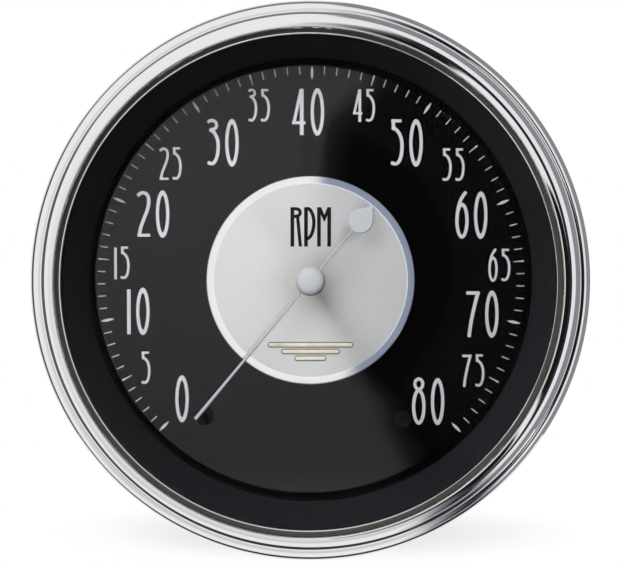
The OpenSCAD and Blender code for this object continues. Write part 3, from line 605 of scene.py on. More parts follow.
class TACHO_OT_bezel(bpy.types.Operator):
    """Bezel rolled from bright sheet: bead, groove, broad crown, hem set off centre, crimped edge; a dark band on the
    crown's inner wall is a painted reflection
    """

    bl_idname = "tacho.bezel"
    bl_label = "Bezel"

    def execute(self, context):
        s = context.scene.tachometer.front
        radius, wall, outer_r, crown_r = mm(s.bezel_radius), mm(s.sheet), mm(s.outer_bead), mm(s.crown)
        seat_edge, flange_rear, crimp_r, lip_under, shoulder = 0.4, 0.7, 43.6, 7.35, 9.2
        groove_at, wall_at, crown_from, crown_to = 134, 7.5, 40, 120
        moved_x, moved_y, moved_over = 0.29, 0.21, 1.6
        outer = np.array([radius - outer_r, lip_under - 1.95])
        groove = arc(outer, outer_r, groove_at, groove_at, 1)[0]
        hem, hem_r = np.array([radius - 5.61, 7.75]), 0.18
        hem_top = (radius - 5.48, 7.83)
        hem_foot = [[radius - 5.78, 7.42], [radius - 5.6, lip_under + 0.01], [radius - 4.95, lip_under]]
        face = np.concatenate([
            [[crimp_r, 0]],
            arc((radius - seat_edge, seat_edge), seat_edge, -90, 0, 6),
            arc(outer, outer_r, 0, groove_at, 36),
            stepped(groove, (radius - 2.58, shoulder), 0.5),
        ])
        face = carried(face, 0.3, 9, crown_from, 6)
        crown = face[-1] - crown_r * np.array([math.cos(math.radians(crown_from)), math.sin(math.radians(crown_from))])
        face = carried(face, crown_r, crown_from, crown_to, 36)
        face = carried(face, 0.4, crown_to, 180, 12)
        face = np.concatenate([face, stepped(face[-1], hem_top, 0.14)])
        flank = face[(face[:, 0] < radius - 3) & (face[:, 1] < shoulder)]
        profile = np.concatenate([
            face,
            arc(hem, hem_r, 30, 185, 14)[1:],
            hem_foot,
            arc(crown, crown_r - wall, crown_to, crown_from, 10),
            arc(groove, wall, 180 + wall_at, 180 + groove_at, 8),
            arc(outer, outer_r - wall, groove_at, 0, 8),
            [[radius - wall, flange_rear], [crimp_r, flange_rear]],
        ])

        def off_centre(r, z, around):
            """Towards the hem, each point moves by a growing share of (moved_x, moved_y) across the dial."""
            share = np.clip((radius - 3.2 - r) / moved_over, 0, 1) * (z > 6.5)
            return r - share * (moved_x * np.cos(around) + moved_y * np.sin(around))

        make_piece(
            "bezel_ring", [turned(profile, 360, closed=True, shape=off_centre)], "gauge",
            chrome_finish(), ["bezel"], 50,
        )
        # Painted reflection: a dark band on the crown's inner wall stands for the dark reflection of the visor that
        # this chrome wall shows
        painted_reflection_band = np.concatenate([flank[::-1] + [0.05, 0], flank + [-0.04, 0]])
        make_piece(
            "bezel_painted_reflection", [turned(painted_reflection_band, 240, closed=True, shape=off_centre)], "gauge",
            moulded_finish("painted_reflection_dark", (0.05, 0.048, 0.04), 0.4, 0.5), (), 50,
        )
        return {"FINISHED"}


class TACHO_OT_glass(bpy.types.Operator):
    """Domed glass: two spheres a thickness apart, and a flat rim that sits on the rubber ring"""

    bl_idname = "tacho.glass"
    bl_label = "Glass"

    def execute(self, context):
        s = context.scene.tachometer.front
        rise, thick = mm(s.dome_rise), mm(s.glass_thickness)
        window_r, edge_r, seat, under = 40.8, cad_radius("glass"), 5.35, 7.35
        ball = (window_r**2 + rise**2) / (2 * rise)
        centre = under + rise - ball
        rim = math.sqrt((ball - thick) ** 2 - (seat - centre) ** 2)
        outer = np.linspace(0, edge_r, 40)
        inner = np.linspace(rim, 0, 40)
        profile = np.concatenate([
            np.stack([outer, centre + np.sqrt(ball**2 - outer**2)], -1),
            [[edge_r, seat]],
            np.stack([inner, centre + np.sqrt((ball - thick) ** 2 - inner**2)], -1),
        ])
        make_piece("glass_dome", [turned(profile, 240)], "gauge", glass_finish(), ["glass"])
        rubber = moulded_finish("gasket_rubber", slot_colour("rubber_black"), 0.6, 0.75, 0.15)
        dress_nodes(rubber, "glass_gasket")
        return {"FINISHED"}


class TACHO_OT_visor(bpy.types.Operator):
    """Black cone from the window down to the dial, with a rim under the rubber ring"""

    bl_idname = "tacho.visor"
    bl_label = "Visor"

    def execute(self, context):
        mouth, foot, top, base, wall = 41.4, 39.46, 4.35, DIAL_FACE, 0.55
        rim_r, rim_front, rim_rear = 45.8, 1.7, 0.7
        side = min(41.55, foot + (mouth - foot) / (top - base) * (rim_rear - base) + wall)
        profile = np.concatenate([
            [[foot, base], [foot + wall, base], [side, rim_rear], [side, rim_front], [rim_r, rim_front]],
            [[rim_r, top - 1], [rim_r - 1, top]],
            arc((mouth + 0.25, top - 0.25), 0.25, 90, 180, 5),
        ])
        make_piece(
            "visor_cone", [turned(profile, 240, closed=True)], "gauge", visor_finish(), ["visor"]
        )
        return {"FINISHED"}


# ---- Dial ----

# Each figure is drawn 46 units high, and each letter 39: its width, its strokes as (width, points), and its closed
# loops as (centre, half width, half height, inner half width, inner half height)
GLYPHS = {
    "0": (14.6, [], [((7.3, 22.9), 6.7, 23.6, 2.85, 17.5)]),
    "1": (4.5, [(4.4, [(2.2, 0), (2.2, 44.8)])], []),
    "2": (14.0, [
        (4.2, [(0.9, 41.0), (3.2, 43.2), (6.4, 44.2), (10.2, 42.2), (12.0, 36.4), (10.6, 27.5), (6.6, 17),
               (3.6, 8.5), (2.4, 1)]),
        (3.6, [(0.5, 1.8), (13.2, 1.8)]),
    ], []),
    "3": (13.4, [
        (3.8, [(0.9, 43.2), (4.4, 45.2), (8.2, 44.0), (9.8, 40.5), (8.2, 37.2), (3.0, 35.6)]),
        (4.1, [(3.0, 36.0), (7.3, 33.0), (10.4, 27), (11.4, 20), (10.5, 10.5), (8.0, 4.4), (5.0, 2.1), (1.0, 3.6)]),
    ], []),
    "4": (13.8, [
        (4.6, [(9.9, 0), (9.9, 45.8)]),
        (3.8, [(9.4, 45.6), (1.9, 11.0)]),
        (3.5, [(0.3, 12.2), (13.7, 12.2)]),
    ], []),
    "5": (13.8, [
        (3.7, [(0.8, 44.8), (11.0, 44.8)]),
        (4.2, [(2.9, 46.4), (2.9, 37.0)]),
        (4.1, [(1.4, 37.6), (5.6, 36.2), (9.6, 30.4), (11.5, 22), (10.8, 11), (8.3, 4.3), (4.8, 2.1), (0.6, 3.4)]),
    ], []),
    "6": (14.0, [
        (4.0, [(2.1, 18), (2.7, 27), (4.9, 36), (7.8, 41.8), (11.0, 46.2)]),
    ], [((7.0, 17.4), 6.65, 17.9, 2.75, 13.3)]),
    "7": (14.4, [
        (4.0, [(0.6, 44.1), (13.9, 44.1)]),
        (4.3, [(12.2, 45.0), (8.2, 29), (5.0, 13), (3.3, 0)]),
    ], []),
    "8": (14.3, [], [((7.15, 40.5), 5.45, 6.6, 1.8, 2.9), ((7.15, 17.8), 6.8, 18.1, 2.8, 13.5)]),
    "R": (11.7, [
        (3.7, [(2.1, 0), (2.1, 39.2)]),
        (3.2, [(2.1, 37.6), (6.0, 37.6), (8.9, 36.4), (9.9, 33.9), (8.9, 31.3), (6.0, 30.2), (2.1, 30.2)]),
        (3.3, [(7.3, 30.4), (10.1, 0)]),
    ], []),
    "P": (11.5, [
        (3.7, [(1.85, 0), (1.85, 39.2)]),
        (3.4, [(2.2, 38.0), (5.6, 36.9), (8.6, 31.4), (9.8, 24), (8.6, 15.6), (6.0, 9.8), (2.2, 7.2)]),
    ], []),
    "M": (14.0, [
        (3.7, [(1.9, 0), (1.9, 39.2)]),
        (3.7, [(12.1, 0), (12.1, 39.2)]),
    ], []),
}
# The V of the letter M, as its outer and its inner edge
M_BAND = ([(0.05, 39.2), (7.35, 24.3), (13.95, 39.2)], [(4.1, 39.2), (7.3, 31.7), (10.4, 39.2)])
# How many mm one of these units is, and how many units lie between two glyphs
UNIT = 0.178
GLYPH_GAP = 4.4

# Each numeral's middle and foot on the dial, in mm: the tens are large and the fives small
NUMERALS = [
    ("0", -22.9, -25.2), ("5", -29.3, -18.5), ("10", -30.61, -9.6), ("15", -33.5, 0.19), ("20", -27.9, 7.69),
    ("25", -24.8, 17.8), ("30", -15.51, 20.31), ("35", -9.1, 28.08), ("40", -0.4, 25.77), ("45", 9.5, 28.08),
    ("50", 17.1, 20.3), ("55", 25.4, 17.6), ("60", 28.6, 7.5), ("65", 33.6, -0.2), ("70", 30.61, -10.1),
    ("75", 29.01, -19.0), ("80", 21.0, -25.7),
]
# The size of the small numerals beside the large, and the width of a stroke beside that in GLYPHS, for either
SMALL = 0.705
STROKE = 0.81
SMALL_STROKE = 1.05 * STROKE


def glyph_solid(letter, x, y, scale, low, high, weight=1.0):
    """One character as a thin solid of print, with its foot at (x, y) and its strokes weight times as wide."""
    loop_power, hole_power = 2.05, 1.75
    _, strokes, loops = GLYPHS[letter]
    quads = []
    for width, points in strokes:
        quads.append(strip(*edges_of(smooth_path(points), width * weight)))
    for (cx, cy), half_w, half_h, in_w, in_h in loops:
        in_w, in_h = half_w - (half_w - in_w) * weight, half_h - (half_h - in_h) * weight
        loop, hole = oval((cx, cy), half_w, half_h, loop_power), oval((cx, cy), in_w, in_h, hole_power)
        quads.append(strip(loop, hole, closed=True))
    if letter == "M":
        quads.append(strip(*(np.array(edge) for edge in M_BAND)))
    points, faces = printed(quads, low, high)
    points[:, :2] = points[:, :2] * scale + [x, y]
    return points, faces


def word_solids(word, middle, foot, scale, low, high, weight):
    """A word of print, centred on middle: each character follows the last after a gap."""
    widths, gap = [GLYPHS[letter][0] * scale for letter in word], GLYPH_GAP * scale
    x = middle - (sum(widths) + gap * (len(word) - 1)) / 2
    parts = []
    for letter, width in zip(word, widths):
        parts.append(glyph_solid(letter, x, foot, scale, low, high, weight))
        x += width + gap
    return parts


def tick(outer, length_mm, widths):
    """The two sides of a mark that runs inwards from outer: its width at even steps from the inner end."""
    y = np.linspace(outer - length_mm, outer, len(widths))
    half = np.asarray(widths) / 2
    return np.stack([-half, y], -1), np.stack([half, y], -1)


class TACHO_OT_dial(bpy.types.Operator):
    """Gloss black dial, and its scale: fine marks, a flared mark at each five and a lens at each ten"""

    bl_idname = "tacho.dial"
    bl_label = "Dial"

    def execute(self, context):
        s = context.scene.tachometer.dial
        dress_nodes(dial_finish(), "dial")
        steps, sweep, start, outer = 80, 270.0, 134.7, 37.98
        centre = (0.08, -0.07)
        low, high = DIAL_FACE, DIAL_FACE + mm(s.print_height)
        bow = np.sin(np.linspace(0, np.pi, 15))
        lens = tick(outer + 0.05, 2.36, 0.05 + 0.44 * bow)
        flare = tick(outer + 0.02, 1.84, 0.14 + 0.2 * np.linspace(0, 1, 9) ** 2)
        fine = tick(outer, 1.38, [0.18, 0.16, 0.14])
        parts = []
        for step in range(steps + 1):
            mark = lens if step % 10 == 0 else flare if step % 5 == 0 else fine
            points, faces = printed([strip(*mark)], low, high)
            parts.append(moved((turn_points(points, start - step * sweep / steps), faces), *centre))
        make_piece(
            "scale_print", parts, "gauge", print_finish("scale_ink", tuple(s.ink), 0.45, 0.6),
            ["scale_marks"],
        )
        return {"FINISHED"}


class TACHO_OT_numerals(bpy.types.Operator):
    """Numerals from 0 to 80 in tall narrow figures, printed on the dial"""

    bl_idname = "tacho.numerals"
    bl_label = "Numerals"

    def execute(self, context):
        s = context.scene.tachometer.dial
        parts = []
        for word, middle, foot in NUMERALS:
            small = word.endswith("5")
            scale, weight = (UNIT * SMALL, SMALL_STROKE) if small else (UNIT, STROKE)
            parts += word_solids(word, middle, foot, scale, DIAL_FACE, DIAL_FACE + mm(s.print_height), weight)
        make_piece(
            "dial_numerals", parts, "gauge", print_finish("numeral_ink", tuple(s.ink), 0.45, 0.6)
        )
        return {"FINISHED"}


class TACHO_OT_disc(bpy.types.Operator):
    """Spun disc in the middle of the dial, with its bevel and the printed letters RPM"""

    bl_idname = "tacho.disc"
    bl_label = "Centre disc"

    def execute(self, context):
        s = context.scene.tachometer.dial
        foot_r, bevel, hole, rim_h, lap = mm(s.disc_radius), mm(s.disc_bevel), 1.2, 0.43, 0.05
        letter_foot, letter_unit = 6.0, 0.177
        top_r, thick = foot_r - bevel, DISC_FACE - DIAL_FACE
        face = np.linspace(top_r, hole, 30)
        profile = np.concatenate([
            [[hole, DIAL_FACE], [top_r, DIAL_FACE]],
            np.stack([face, np.full_like(face, DISC_FACE)], -1),
        ])
        make_piece(
            "centre_plate", [turned(profile, 240, closed=True)], "gauge", spun_finish(),
            ["centre_disc"], 20,
        )
        rim = np.concatenate([
            [[top_r, DIAL_FACE], [foot_r, DIAL_FACE], [foot_r, DIAL_FACE + rim_h - lap]],
            arc((foot_r - lap, DIAL_FACE + rim_h - lap), lap, 20, 68, 3),
            stepped((foot_r - lap, DIAL_FACE + rim_h), (top_r + lap, DIAL_FACE + thick - 0.01), 0.3),
            [[top_r, DIAL_FACE + thick]],
        ])
        make_piece(
            "plate_bevel", [turned(rim, 240, closed=True)], "gauge", bevel_finish(), ["centre_disc"], 20
        )
        ink = print_finish("lettering_ink", (0.005, 0.005, 0.006), 0.5, 0.6, 0.15)
        top = DISC_FACE + mm(s.print_height)
        letters = [
            glyph_solid(letter, left, letter_foot, letter_unit, DISC_FACE, top)
            for letter, left in (("R", -3.58), ("P", -1.13), ("M", 1.16))
        ]
        make_piece("disc_lettering", letters, "gauge", ink)
        return {"FINISHED"}


def bar_rings(half, width, low, high, edge):
    """A bar with round ends: its outline, drawn in towards the top over a rounded edge."""
    rings = []
    for inset, level in ((0, low), (0, high - edge), (edge * 0.3, high - edge * 0.3), (edge, high)):
        radius = width / 2 - inset
        outline = np.concatenate([arc((half, 0), radius, -90, 90), arc((-half, 0), radius, 90, 270)])
        rings.append(np.concatenate([outline, np.full((len(outline), 1), level)], 1))
    return np.stack(rings)


class TACHO_OT_ornament(bpy.types.Operator):
    """Three stepped bars in cream enamel, each on a thin dark edge"""

    bl_idname = "tacho.ornament"
    bl_label = "Ornament"

    def execute(self, context):
        longest, middle_y, apart, bar_w, edge_w = 7.1, -12.6, 1.2, 0.7, 0.94
        bars, edges = [], []
        for step in (-1, 0, 1):
            half, y = longest * (2 - step) / 3, middle_y - apart * step
            bars.append(moved(swept(bar_rings(half, bar_w, DISC_FACE + 0.05, DISC_FACE + 0.3, 0.12)), y=y))
            edges.append(moved(swept(bar_rings(half, edge_w, DISC_FACE, DISC_FACE + 0.12, 0.05)), y=y))
        cream = Finish("ornament_enamel", tuple(context.scene.tachometer.dial.ornament), 0.3)
        cream.tint(cream.noise(0.6, 3), 0.9, 1.08)
        cream.rough(cream.noise(2, 3), 0.25, 0.38)
        make_piece("ornament_bars", bars, "gauge", cream.material, ["disc_ornament"])
        dark = moulded_finish("ornament_edge_dark", (0.03, 0.028, 0.025), 0.4, 0.55)
        make_piece("ornament_edges", edges, "gauge", dark)
        return {"FINISHED"}


class TACHO_OT_stops(bpy.types.Operator):
    """The two black posts that end the pointer's travel, each on a round foot"""

    bl_idname = "tacho.stops"
    bl_label = "Stops"

    def execute(self, context):
        core, foot_r, foot_h, top, rear = 0.62, 1.6, 0.6, -0.6, -8.0
        profile = np.concatenate([
            [[0, rear], [core, rear], [core, DIAL_FACE], [foot_r, DIAL_FACE]],
            arc((foot_r - 0.2, DIAL_FACE + foot_h - 0.2), 0.2, 0, 90, 4),
            arc((core + 0.15, DIAL_FACE + foot_h + 0.15), 0.15, 270, 180, 3),
            arc((core - 0.3, top - 0.3), 0.3, 0, 90, 5),
            [[0, top]],
        ])
        posts = []
        for reach, from_down in ((30.7, -38.0), (29.7, 33.4)):
            a = math.radians(from_down)
            posts.append(turned(profile, 48, centre=(reach * math.sin(a), -reach * math.cos(a))))
        black = moulded_finish("stop_plastic", (0.003, 0.003, 0.0035), 0.5, 0.62, shine=0.2)
        make_piece("stop_posts", posts, "gauge", black, ["stop_pins"])
        return {"FINISHED"}


# ---- Pointer ----


class TACHO_OT_pointer(bpy.types.Operator):
    """Slim silver pointer with a teardrop tail, and the domed cap on its hub"""

    bl_idname = "tacho.pointer"
    bl_label = "Pointer"

    def execute(self, context):
        s = context.scene.tachometer.pointer
        reach = mm(s.reach)
        low, high = cad_level("pointer_blade", 0), cad_level("pointer_blade", 1)
        drop_y, drop_r, tail_y, hub_r, bar_half, bar_spread = -13.5, 2.13, -16.9, 1.4, 0.13, 0.19
        touch = math.acos(drop_r / (drop_y - tail_y))
        touch_y = drop_y - drop_r * math.cos(touch)
        touch_w = drop_r * math.sin(touch)
        ease = (1 - np.cos(np.linspace(0, np.pi, 33))) / 2
        y = np.unique(np.round(np.concatenate([
            tail_y + 0.02 + (touch_y - tail_y - 0.02) * ease[::2],
            touch_y + (drop_y + drop_r - touch_y) * ease,
            -hub_r + 2 * hub_r * ease,
            np.linspace(hub_r, reach, 24),
        ]), 5))
        bar = np.where(y < 0, bar_half, bar_half + bar_spread * y / reach)
        bar = np.where(y < drop_y, 0.0, bar)
        drop = np.sqrt(np.clip(drop_r**2 - (y - drop_y) ** 2, 0, None))
        drop = np.where(y < touch_y, touch_w * (y - tail_y) / (touch_y - tail_y), drop)
        hub = np.sqrt(np.clip(hub_r**2 - y**2, 0, None))
        half = np.maximum(np.maximum(bar, drop), hub)
        edge = np.minimum(0.14, half * 0.55)
        side = np.stack([-half, -half, -half + edge * 0.3, -half + edge], 1)
        across = np.concatenate([side, -side[:, ::-1]], 1)
        rise = np.stack([0 * edge, 0 * edge, edge * 0.3, edge], 1)
        level = high - edge[:, None] + np.concatenate([rise, rise[:, ::-1]], 1)
        level[:, 0] = level[:, 7] = low
        rings = np.stack([across, np.repeat(y[:, None], 8, 1), level], -1)
        points, faces = swept(rings)
        silver = satin_finish("pointer_satin", tuple(s.silver), 0.48, 0.56)
        turn = math.degrees(s.rest)
        make_piece(
            "pointer_needle", [(turn_points(points, turn), faces)], "pointer", silver,
            ["pointer_blade"], 40,
        )
        cap_r, base, top = mm(s.cap_radius), high, cad_level("pointer_cap", 1)
        side = base + 0.4 * (top - base)
        crown = np.abs(arc((0, 0), 1.0, 0, 90, 24)) ** 0.72
        profile = np.concatenate([
            [[0, base], [cap_r - 0.1, base], [cap_r, base + 0.1]],
            np.stack([crown[:, 0] * cap_r, side + crown[:, 1] * (top - side)], -1),
        ])
        make_piece(
            "hub_cap", [turned(profile, 96)], "pointer",
            satin_finish("cap_satin", tuple(s.silver), 0.5, 0.58), ["pointer_cap"],
        )
        return {"FINISHED"}


# ---- Inside ----


class TACHO_OT_inside(bpy.types.Operator):
    """Finishes of the movement, the light box and the circuit board"""

    bl_idname = "tacho.inside"
    bl_label = "Inside"

    def execute(self, context):
        white = moulded_finish("box_white", slot_colour("plastic_white"), 0.4, 0.55)
        ivory = moulded_finish("bobbin_plastic", slot_colour("bobbin_ivory"), 0.4, 0.5)
        brass = turned_finish("bearing_brass", slot_colour("brass"), 0.2, 0.32)
        zinc = metal_finish("inner_zinc", slot_colour("steel_zinc"), 0.25, 0.4)
        blue = moulded_finish("sleeve_blue", slot_colour("component_blue"), 0.25, 0.35)
        black = moulded_finish("moulding_black", slot_colour("component_black"), 0.45, 0.6)
        dress_nodes(white, "light_box")
        dress_nodes(ivory, "bobbin_upper", "bobbin_lower")
        dress_nodes(winding_finish(), "coil_inner", "coil_outer")
        dress_nodes(metal_finish("shield_drawn", slot_colour("shield_grey"), 0.3, 0.45), "shield_can")
        dress_nodes(brass, "upper_bearing", "lower_bearing", "pointer_bush")
        dress_nodes(turned_finish("spindle_steel", slot_colour("steel_bright"), 0.15, 0.25), "spindle")
        dress_nodes(metal_finish("ferrite", slot_colour("magnet_grey"), 0.5, 0.65), "rotor_magnet")
        dress_nodes(board_finish(), "circuit_board")
        dress_nodes(zinc, "board_posts", "board_screws")
        dress_nodes(blue, "capacitors", "trimmer")
        dress_nodes(black, "chips", "selector_switch")
        dress_nodes(banded_finish(), "resistors")
        bulb = Finish("bulb_glass", (1, 0.98, 0.93), 0.02, **{"Transmission Weight": 0.9, "IOR": 1.45})
        bulb.bump(bulb.noise(0.3, 2), 0.01, 0.3)
        dress_nodes(bulb.material, "bulb_left", "bulb_right")
        return {"FINISHED"}


# ---- Back ----

STUD_X = 25.4
BRIDGE_REAR = -54.1
POST = (31.06, 13.83)


class TACHO_OT_case(bpy.types.Operator):
    """Black enamelled can, and the four screws in its back"""

    bl_idname = "tacho.case"
    bl_label = "Case"

    def execute(self, context):
        dress_nodes(enamel_finish(), "case")
        head_r, head_h, shank_r, shank_end, flat_r, turns = 2.4, 1.4, 1.2, -42.2, 1.9, 96
        slot_half, slot_reach, slot_depth, crown, edge_drop = 0.3, 1.25, 0.75, 0.12, 0.75
        edge_w = head_r - flat_r
        edge = flat_r + edge_w * np.sin(np.linspace(0, np.pi / 2, 8))[1:]
        rho = np.concatenate([np.linspace(0, flat_r, 24), edge])
        theta = np.linspace(0, 2 * np.pi, turns, endpoint=False)
        x, y = rho[:, None] * np.cos(theta), rho[:, None] * np.sin(theta)
        # A head's height falls with the square of the radius and as a quarter circle at its edge, less the cross
        round_off = np.clip((rho - flat_r) / edge_w, 0, 1)
        height = head_h - crown * (rho / head_r) ** 2 - edge_drop * (1 - np.sqrt(1 - round_off**2))
        arm = np.minimum(abs(x), abs(y))
        depth = np.clip((slot_half - arm) / 0.07, 0, 1) * np.clip((slot_reach - rho[:, None]) / 0.16, 0, 1)
        level = height[:, None] - slot_depth * depth
        head = np.stack([x, y, BACK - level], -1).reshape(-1, 3)
        below = [[head_r, BACK], [shank_r, BACK], [shank_r, shank_end], [0, shank_end]]
        joined = np.concatenate([head, turned(below, turns)[0]])
        faces = grid_faces(len(rho) + len(below), turns, False, True)
        screws = [moved((joined, faces), side * POST[0], up * POST[1]) for side in (-1, 1) for up in (-1, 1)]
        zinc = metal_finish("screw_zinc", slot_colour("steel_zinc"), 0.22, 0.36)
        make_piece("case_screw_heads", screws, "gauge", zinc, ["case_screws"], 30)
        return {"FINISHED"}


class TACHO_OT_studs(bpy.types.Operator):
    """Threaded studs: the radius falls and rises once for each pitch along the axis and each turn around it"""

    bl_idname = "tacho.studs"
    bl_label = "Studs"

    def execute(self, context):
        s = context.scene.tachometer.back
        radius, pitch, depth, chamfer, runout = mm(s.stud_radius), mm(s.pitch), 0.42, 0.62, 0.2
        end, head_r, head_h, inside = cad_level("stud_left", 0), 2 * radius, 1.4, BACK + WALL

        def thread(r, z, around):
            """Teeth with the phase z / pitch plus the turn: they fade out at the can, and a cone cuts off the tip."""
            tooth = abs(2 * ((z / pitch + around / (2 * np.pi)) % 1) - 1)
            fade = np.clip((BACK - runout - z) / pitch, 0, 1) * (r > radius - 1e-6) * (z < BACK)
            cone = radius - chamfer + np.clip(z - end, 0, None)
            return np.minimum(r - depth * np.clip(1.25 * tooth - 0.12, 0, 1) * fade, np.maximum(cone, 0) + 0 * r)

        rows = np.arange(end, BACK, pitch / 10)
        profile = np.concatenate([
            [[0, end]],
            np.stack([np.full_like(rows, radius), rows], -1),
            [[radius, BACK], [radius, inside], [head_r, inside], [head_r, inside + head_h - 0.3]],
            [[head_r - 0.3, inside + head_h], [0, inside + head_h]],
        ])
        zinc = metal_finish("stud_zinc", slot_colour("steel_zinc"), 0.2, 0.34)
        for name, side in (("left", -1), ("right", 1)):
            part = turned(profile, 40, centre=(side * STUD_X, 0), shape=thread)
            make_piece(f"stud_thread_{name}", [part], "gauge", zinc, [f"stud_{name}"], 60)
        return {"FINISHED"}


def jam_nuts(radius):
    """Hexagon nuts: the radius is the lesser of a flat's, flat / cos(angle from its middle), and an end's cone."""
    flat, corner, nut_h, bore = 2.3 * radius * math.cos(math.radians(30)), 2.3 * radius, 2.4, radius + 0.03
    rear = BACK - nut_h

    def hexagon(r, z, around):
        side = flat / np.cos((around % (np.pi / 3)) - np.pi / 6)
        from_end = np.minimum(z - rear, 10 * (BACK - z) + 0.2)
        cone = flat + 0.15 + np.clip(from_end, 0, None) / math.tan(math.radians(32))
        return np.where(r > bore + 0.5, np.minimum(np.minimum(side, cone), r), r)

    rows = np.linspace(rear, BACK, 13)
    profile = np.concatenate([
        [[bore, rear + 0.25], [bore + 0.25, rear], [flat - 0.3, rear]],
        np.stack([np.full_like(rows, corner), rows], -1),
        [[bore, BACK]],
    ])
    return [turned(profile, 144, closed=True, centre=(side * STUD_X, 0), shape=hexagon) for side in (-1, 1)]


def split_washers(radius):
    """Split washers: a section with cut edges carried around the stud, whose ends lean apart at the slit."""
    inner, outer, thick, slit, edge, lean = radius + 0.1, 2 * radius, 0.8, math.radians(5), 0.12, 0.16
    section = np.array([
        [inner, edge], [inner + edge, 0], [outer - edge, 0], [outer, edge],
        [outer, thick - edge], [outer - edge, thick], [inner + edge, thick], [inner, thick - edge],
    ])
    around = np.linspace(slit, 2 * np.pi - slit, 80)[:, None]
    turn = around + lean * np.cos(around / 2) * (section[:, 1] / thick - 0.5) * 2
    level = BRIDGE_REAR - thick + section[:, 1] + 0 * turn
    rings = np.stack([section[:, 0] * np.cos(turn), section[:, 0] * np.sin(turn), level], -1)
    return [moved(swept(rings), side * STUD_X) for side in (-1, 1)]


def thumb_knob(radius, side):
    """A thumb nut: its grip's radius falls and rises once for each tooth of the knurl, but not at its two rims."""
    front, rear = cad_level("thumb_nut_left", 1), cad_level("thumb_nut_left", 0)
    bore, grip, collar, teeth, tooth = radius + 0.08, 7.0, 5.4, 30, 0.35
    step = front - 1.0

    def knurl(r, z, around):
        wave = 1 - abs(np.cos(teeth / 2 * around))
        inside = np.clip((z - rear - 0.15) / 0.5, 0, 1) * np.clip((step - 0.15 - z) / 0.5, 0, 1)
        return np.where(r > grip - 0.6, np.minimum(r, grip - tooth * wave * inside), r)

    profile = np.concatenate([
        [[bore, rear + 0.3], [bore + 0.3, rear], [grip - 2.2, rear], [grip - 2.0, rear + 0.15]],
        [[grip - 1.2, rear + 0.15], [grip - 1.0, rear], [grip - 0.55, rear]],
        [[grip - 0.2, rear + 0.15], [grip, rear + 0.45]],
        np.stack([np.full(9, grip), np.linspace(rear + 0.7, step - 0.7, 9)], -1),
        [[grip, step - 0.45], [grip - 0.2, step - 0.15], [grip - 0.55, step]],
        [[collar + 0.1, step], [collar, step + 0.1], [collar, front - 0.15], [collar - 0.15, front]],
        [[bore + 0.2, front], [bore, front - 0.2]],
    ])
    return turned(profile, 360, closed=True, centre=(side * STUD_X, 0), shape=knurl)


class TACHO_OT_nuts(bpy.types.Operator):
    """Hexagon nuts, split washers and knurled thumb nuts on the studs"""

    bl_idname = "tacho.nuts"
    bl_label = "Nuts and washers"

    def execute(self, context):
        radius = mm(context.scene.tachometer.back.stud_radius)
        zinc = metal_finish("nut_zinc", slot_colour("steel_zinc"), 0.22, 0.36)
        brass = turned_finish("nut_brass", slot_colour("brass"), 0.18, 0.3)
        make_piece("jam_nuts", jam_nuts(radius), "gauge", zinc, ["stud_nuts"], 25)
        make_piece("split_washers", split_washers(radius), "bracket", zinc, ["lock_washers"], 25)
        for name, side in (("left", -1), ("right", 1)):
            part = thumb_knob(radius, side)
            make_piece(f"thumb_knob_{name}", [part], f"nut_{name}", brass, [f"thumb_nut_{name}"], 40)
        return {"FINISHED"}


class TACHO_OT_fittings(bpy.types.Operator):
    """Clamp, lamp holders, selector, terminals and rivets"""

    bl_idname = "tacho.fittings"
    bl_label = "Clamp and fittings"

    def execute(self, context):
        edge = mm(context.scene.tachometer.back.edge)
        zinc = metal_finish("clamp_zinc", slot_colour("steel_zinc"), 0.25, 0.4, 0.6)
        white = moulded_finish("holder_white", slot_colour("plastic_white"), 0.35, 0.48)
        black = moulded_finish("terminal_moulding", slot_colour("component_black"), 0.4, 0.55)
        brass = metal_finish("blade_brass", slot_colour("brass"), 0.25, 0.38, 1.5)
        softened("clamp_strap", "clamp", "bracket", zinc, edge)
        for side in ("left", "right"):
            softened(
                f"lamp_socket_{side}", f"lamp_holder_{side}", f"lamp_{side}", white, edge * 0.7
            )
        softened("selector_stem", "selector_shaft", "selector", white, edge)
        softened("terminal_base", "terminal_block", "gauge", black, edge)
        softened("terminal_tabs", "terminal_blades", "gauge", brass, edge * 0.5)
        inside, rear, shank, head_r, head_h, brim = BACK + WALL, BACK - 1.6, 1.2, 2.04, 0.96, 0.15
        rivet_x, rivet_y = 16.5, -27.0
        dome = arc((0, 0), 1.0, 0, 90, 10)
        profile = np.concatenate([
            [[0, inside + head_h], [head_r * 0.7, inside + head_h], [head_r, inside + 2 * brim], [head_r, inside]],
            [[shank, inside], [shank, rear], [head_r, rear], [head_r, rear - brim]],
            np.stack([head_r * dome[:, 0], rear - brim - (head_h - brim) * dome[:, 1]], -1),
        ])
        rivets = [turned(profile, 48, centre=(side * rivet_x, rivet_y)) for side in (-1, 1)]
        make_piece(
            "rivet_heads", rivets, "gauge",
            metal_finish("rivet_zinc", slot_colour("steel_zinc"), 0.25, 0.4), ["terminal_rivets"],
        )
        return {"FINISHED"}


# ---- Stage ----

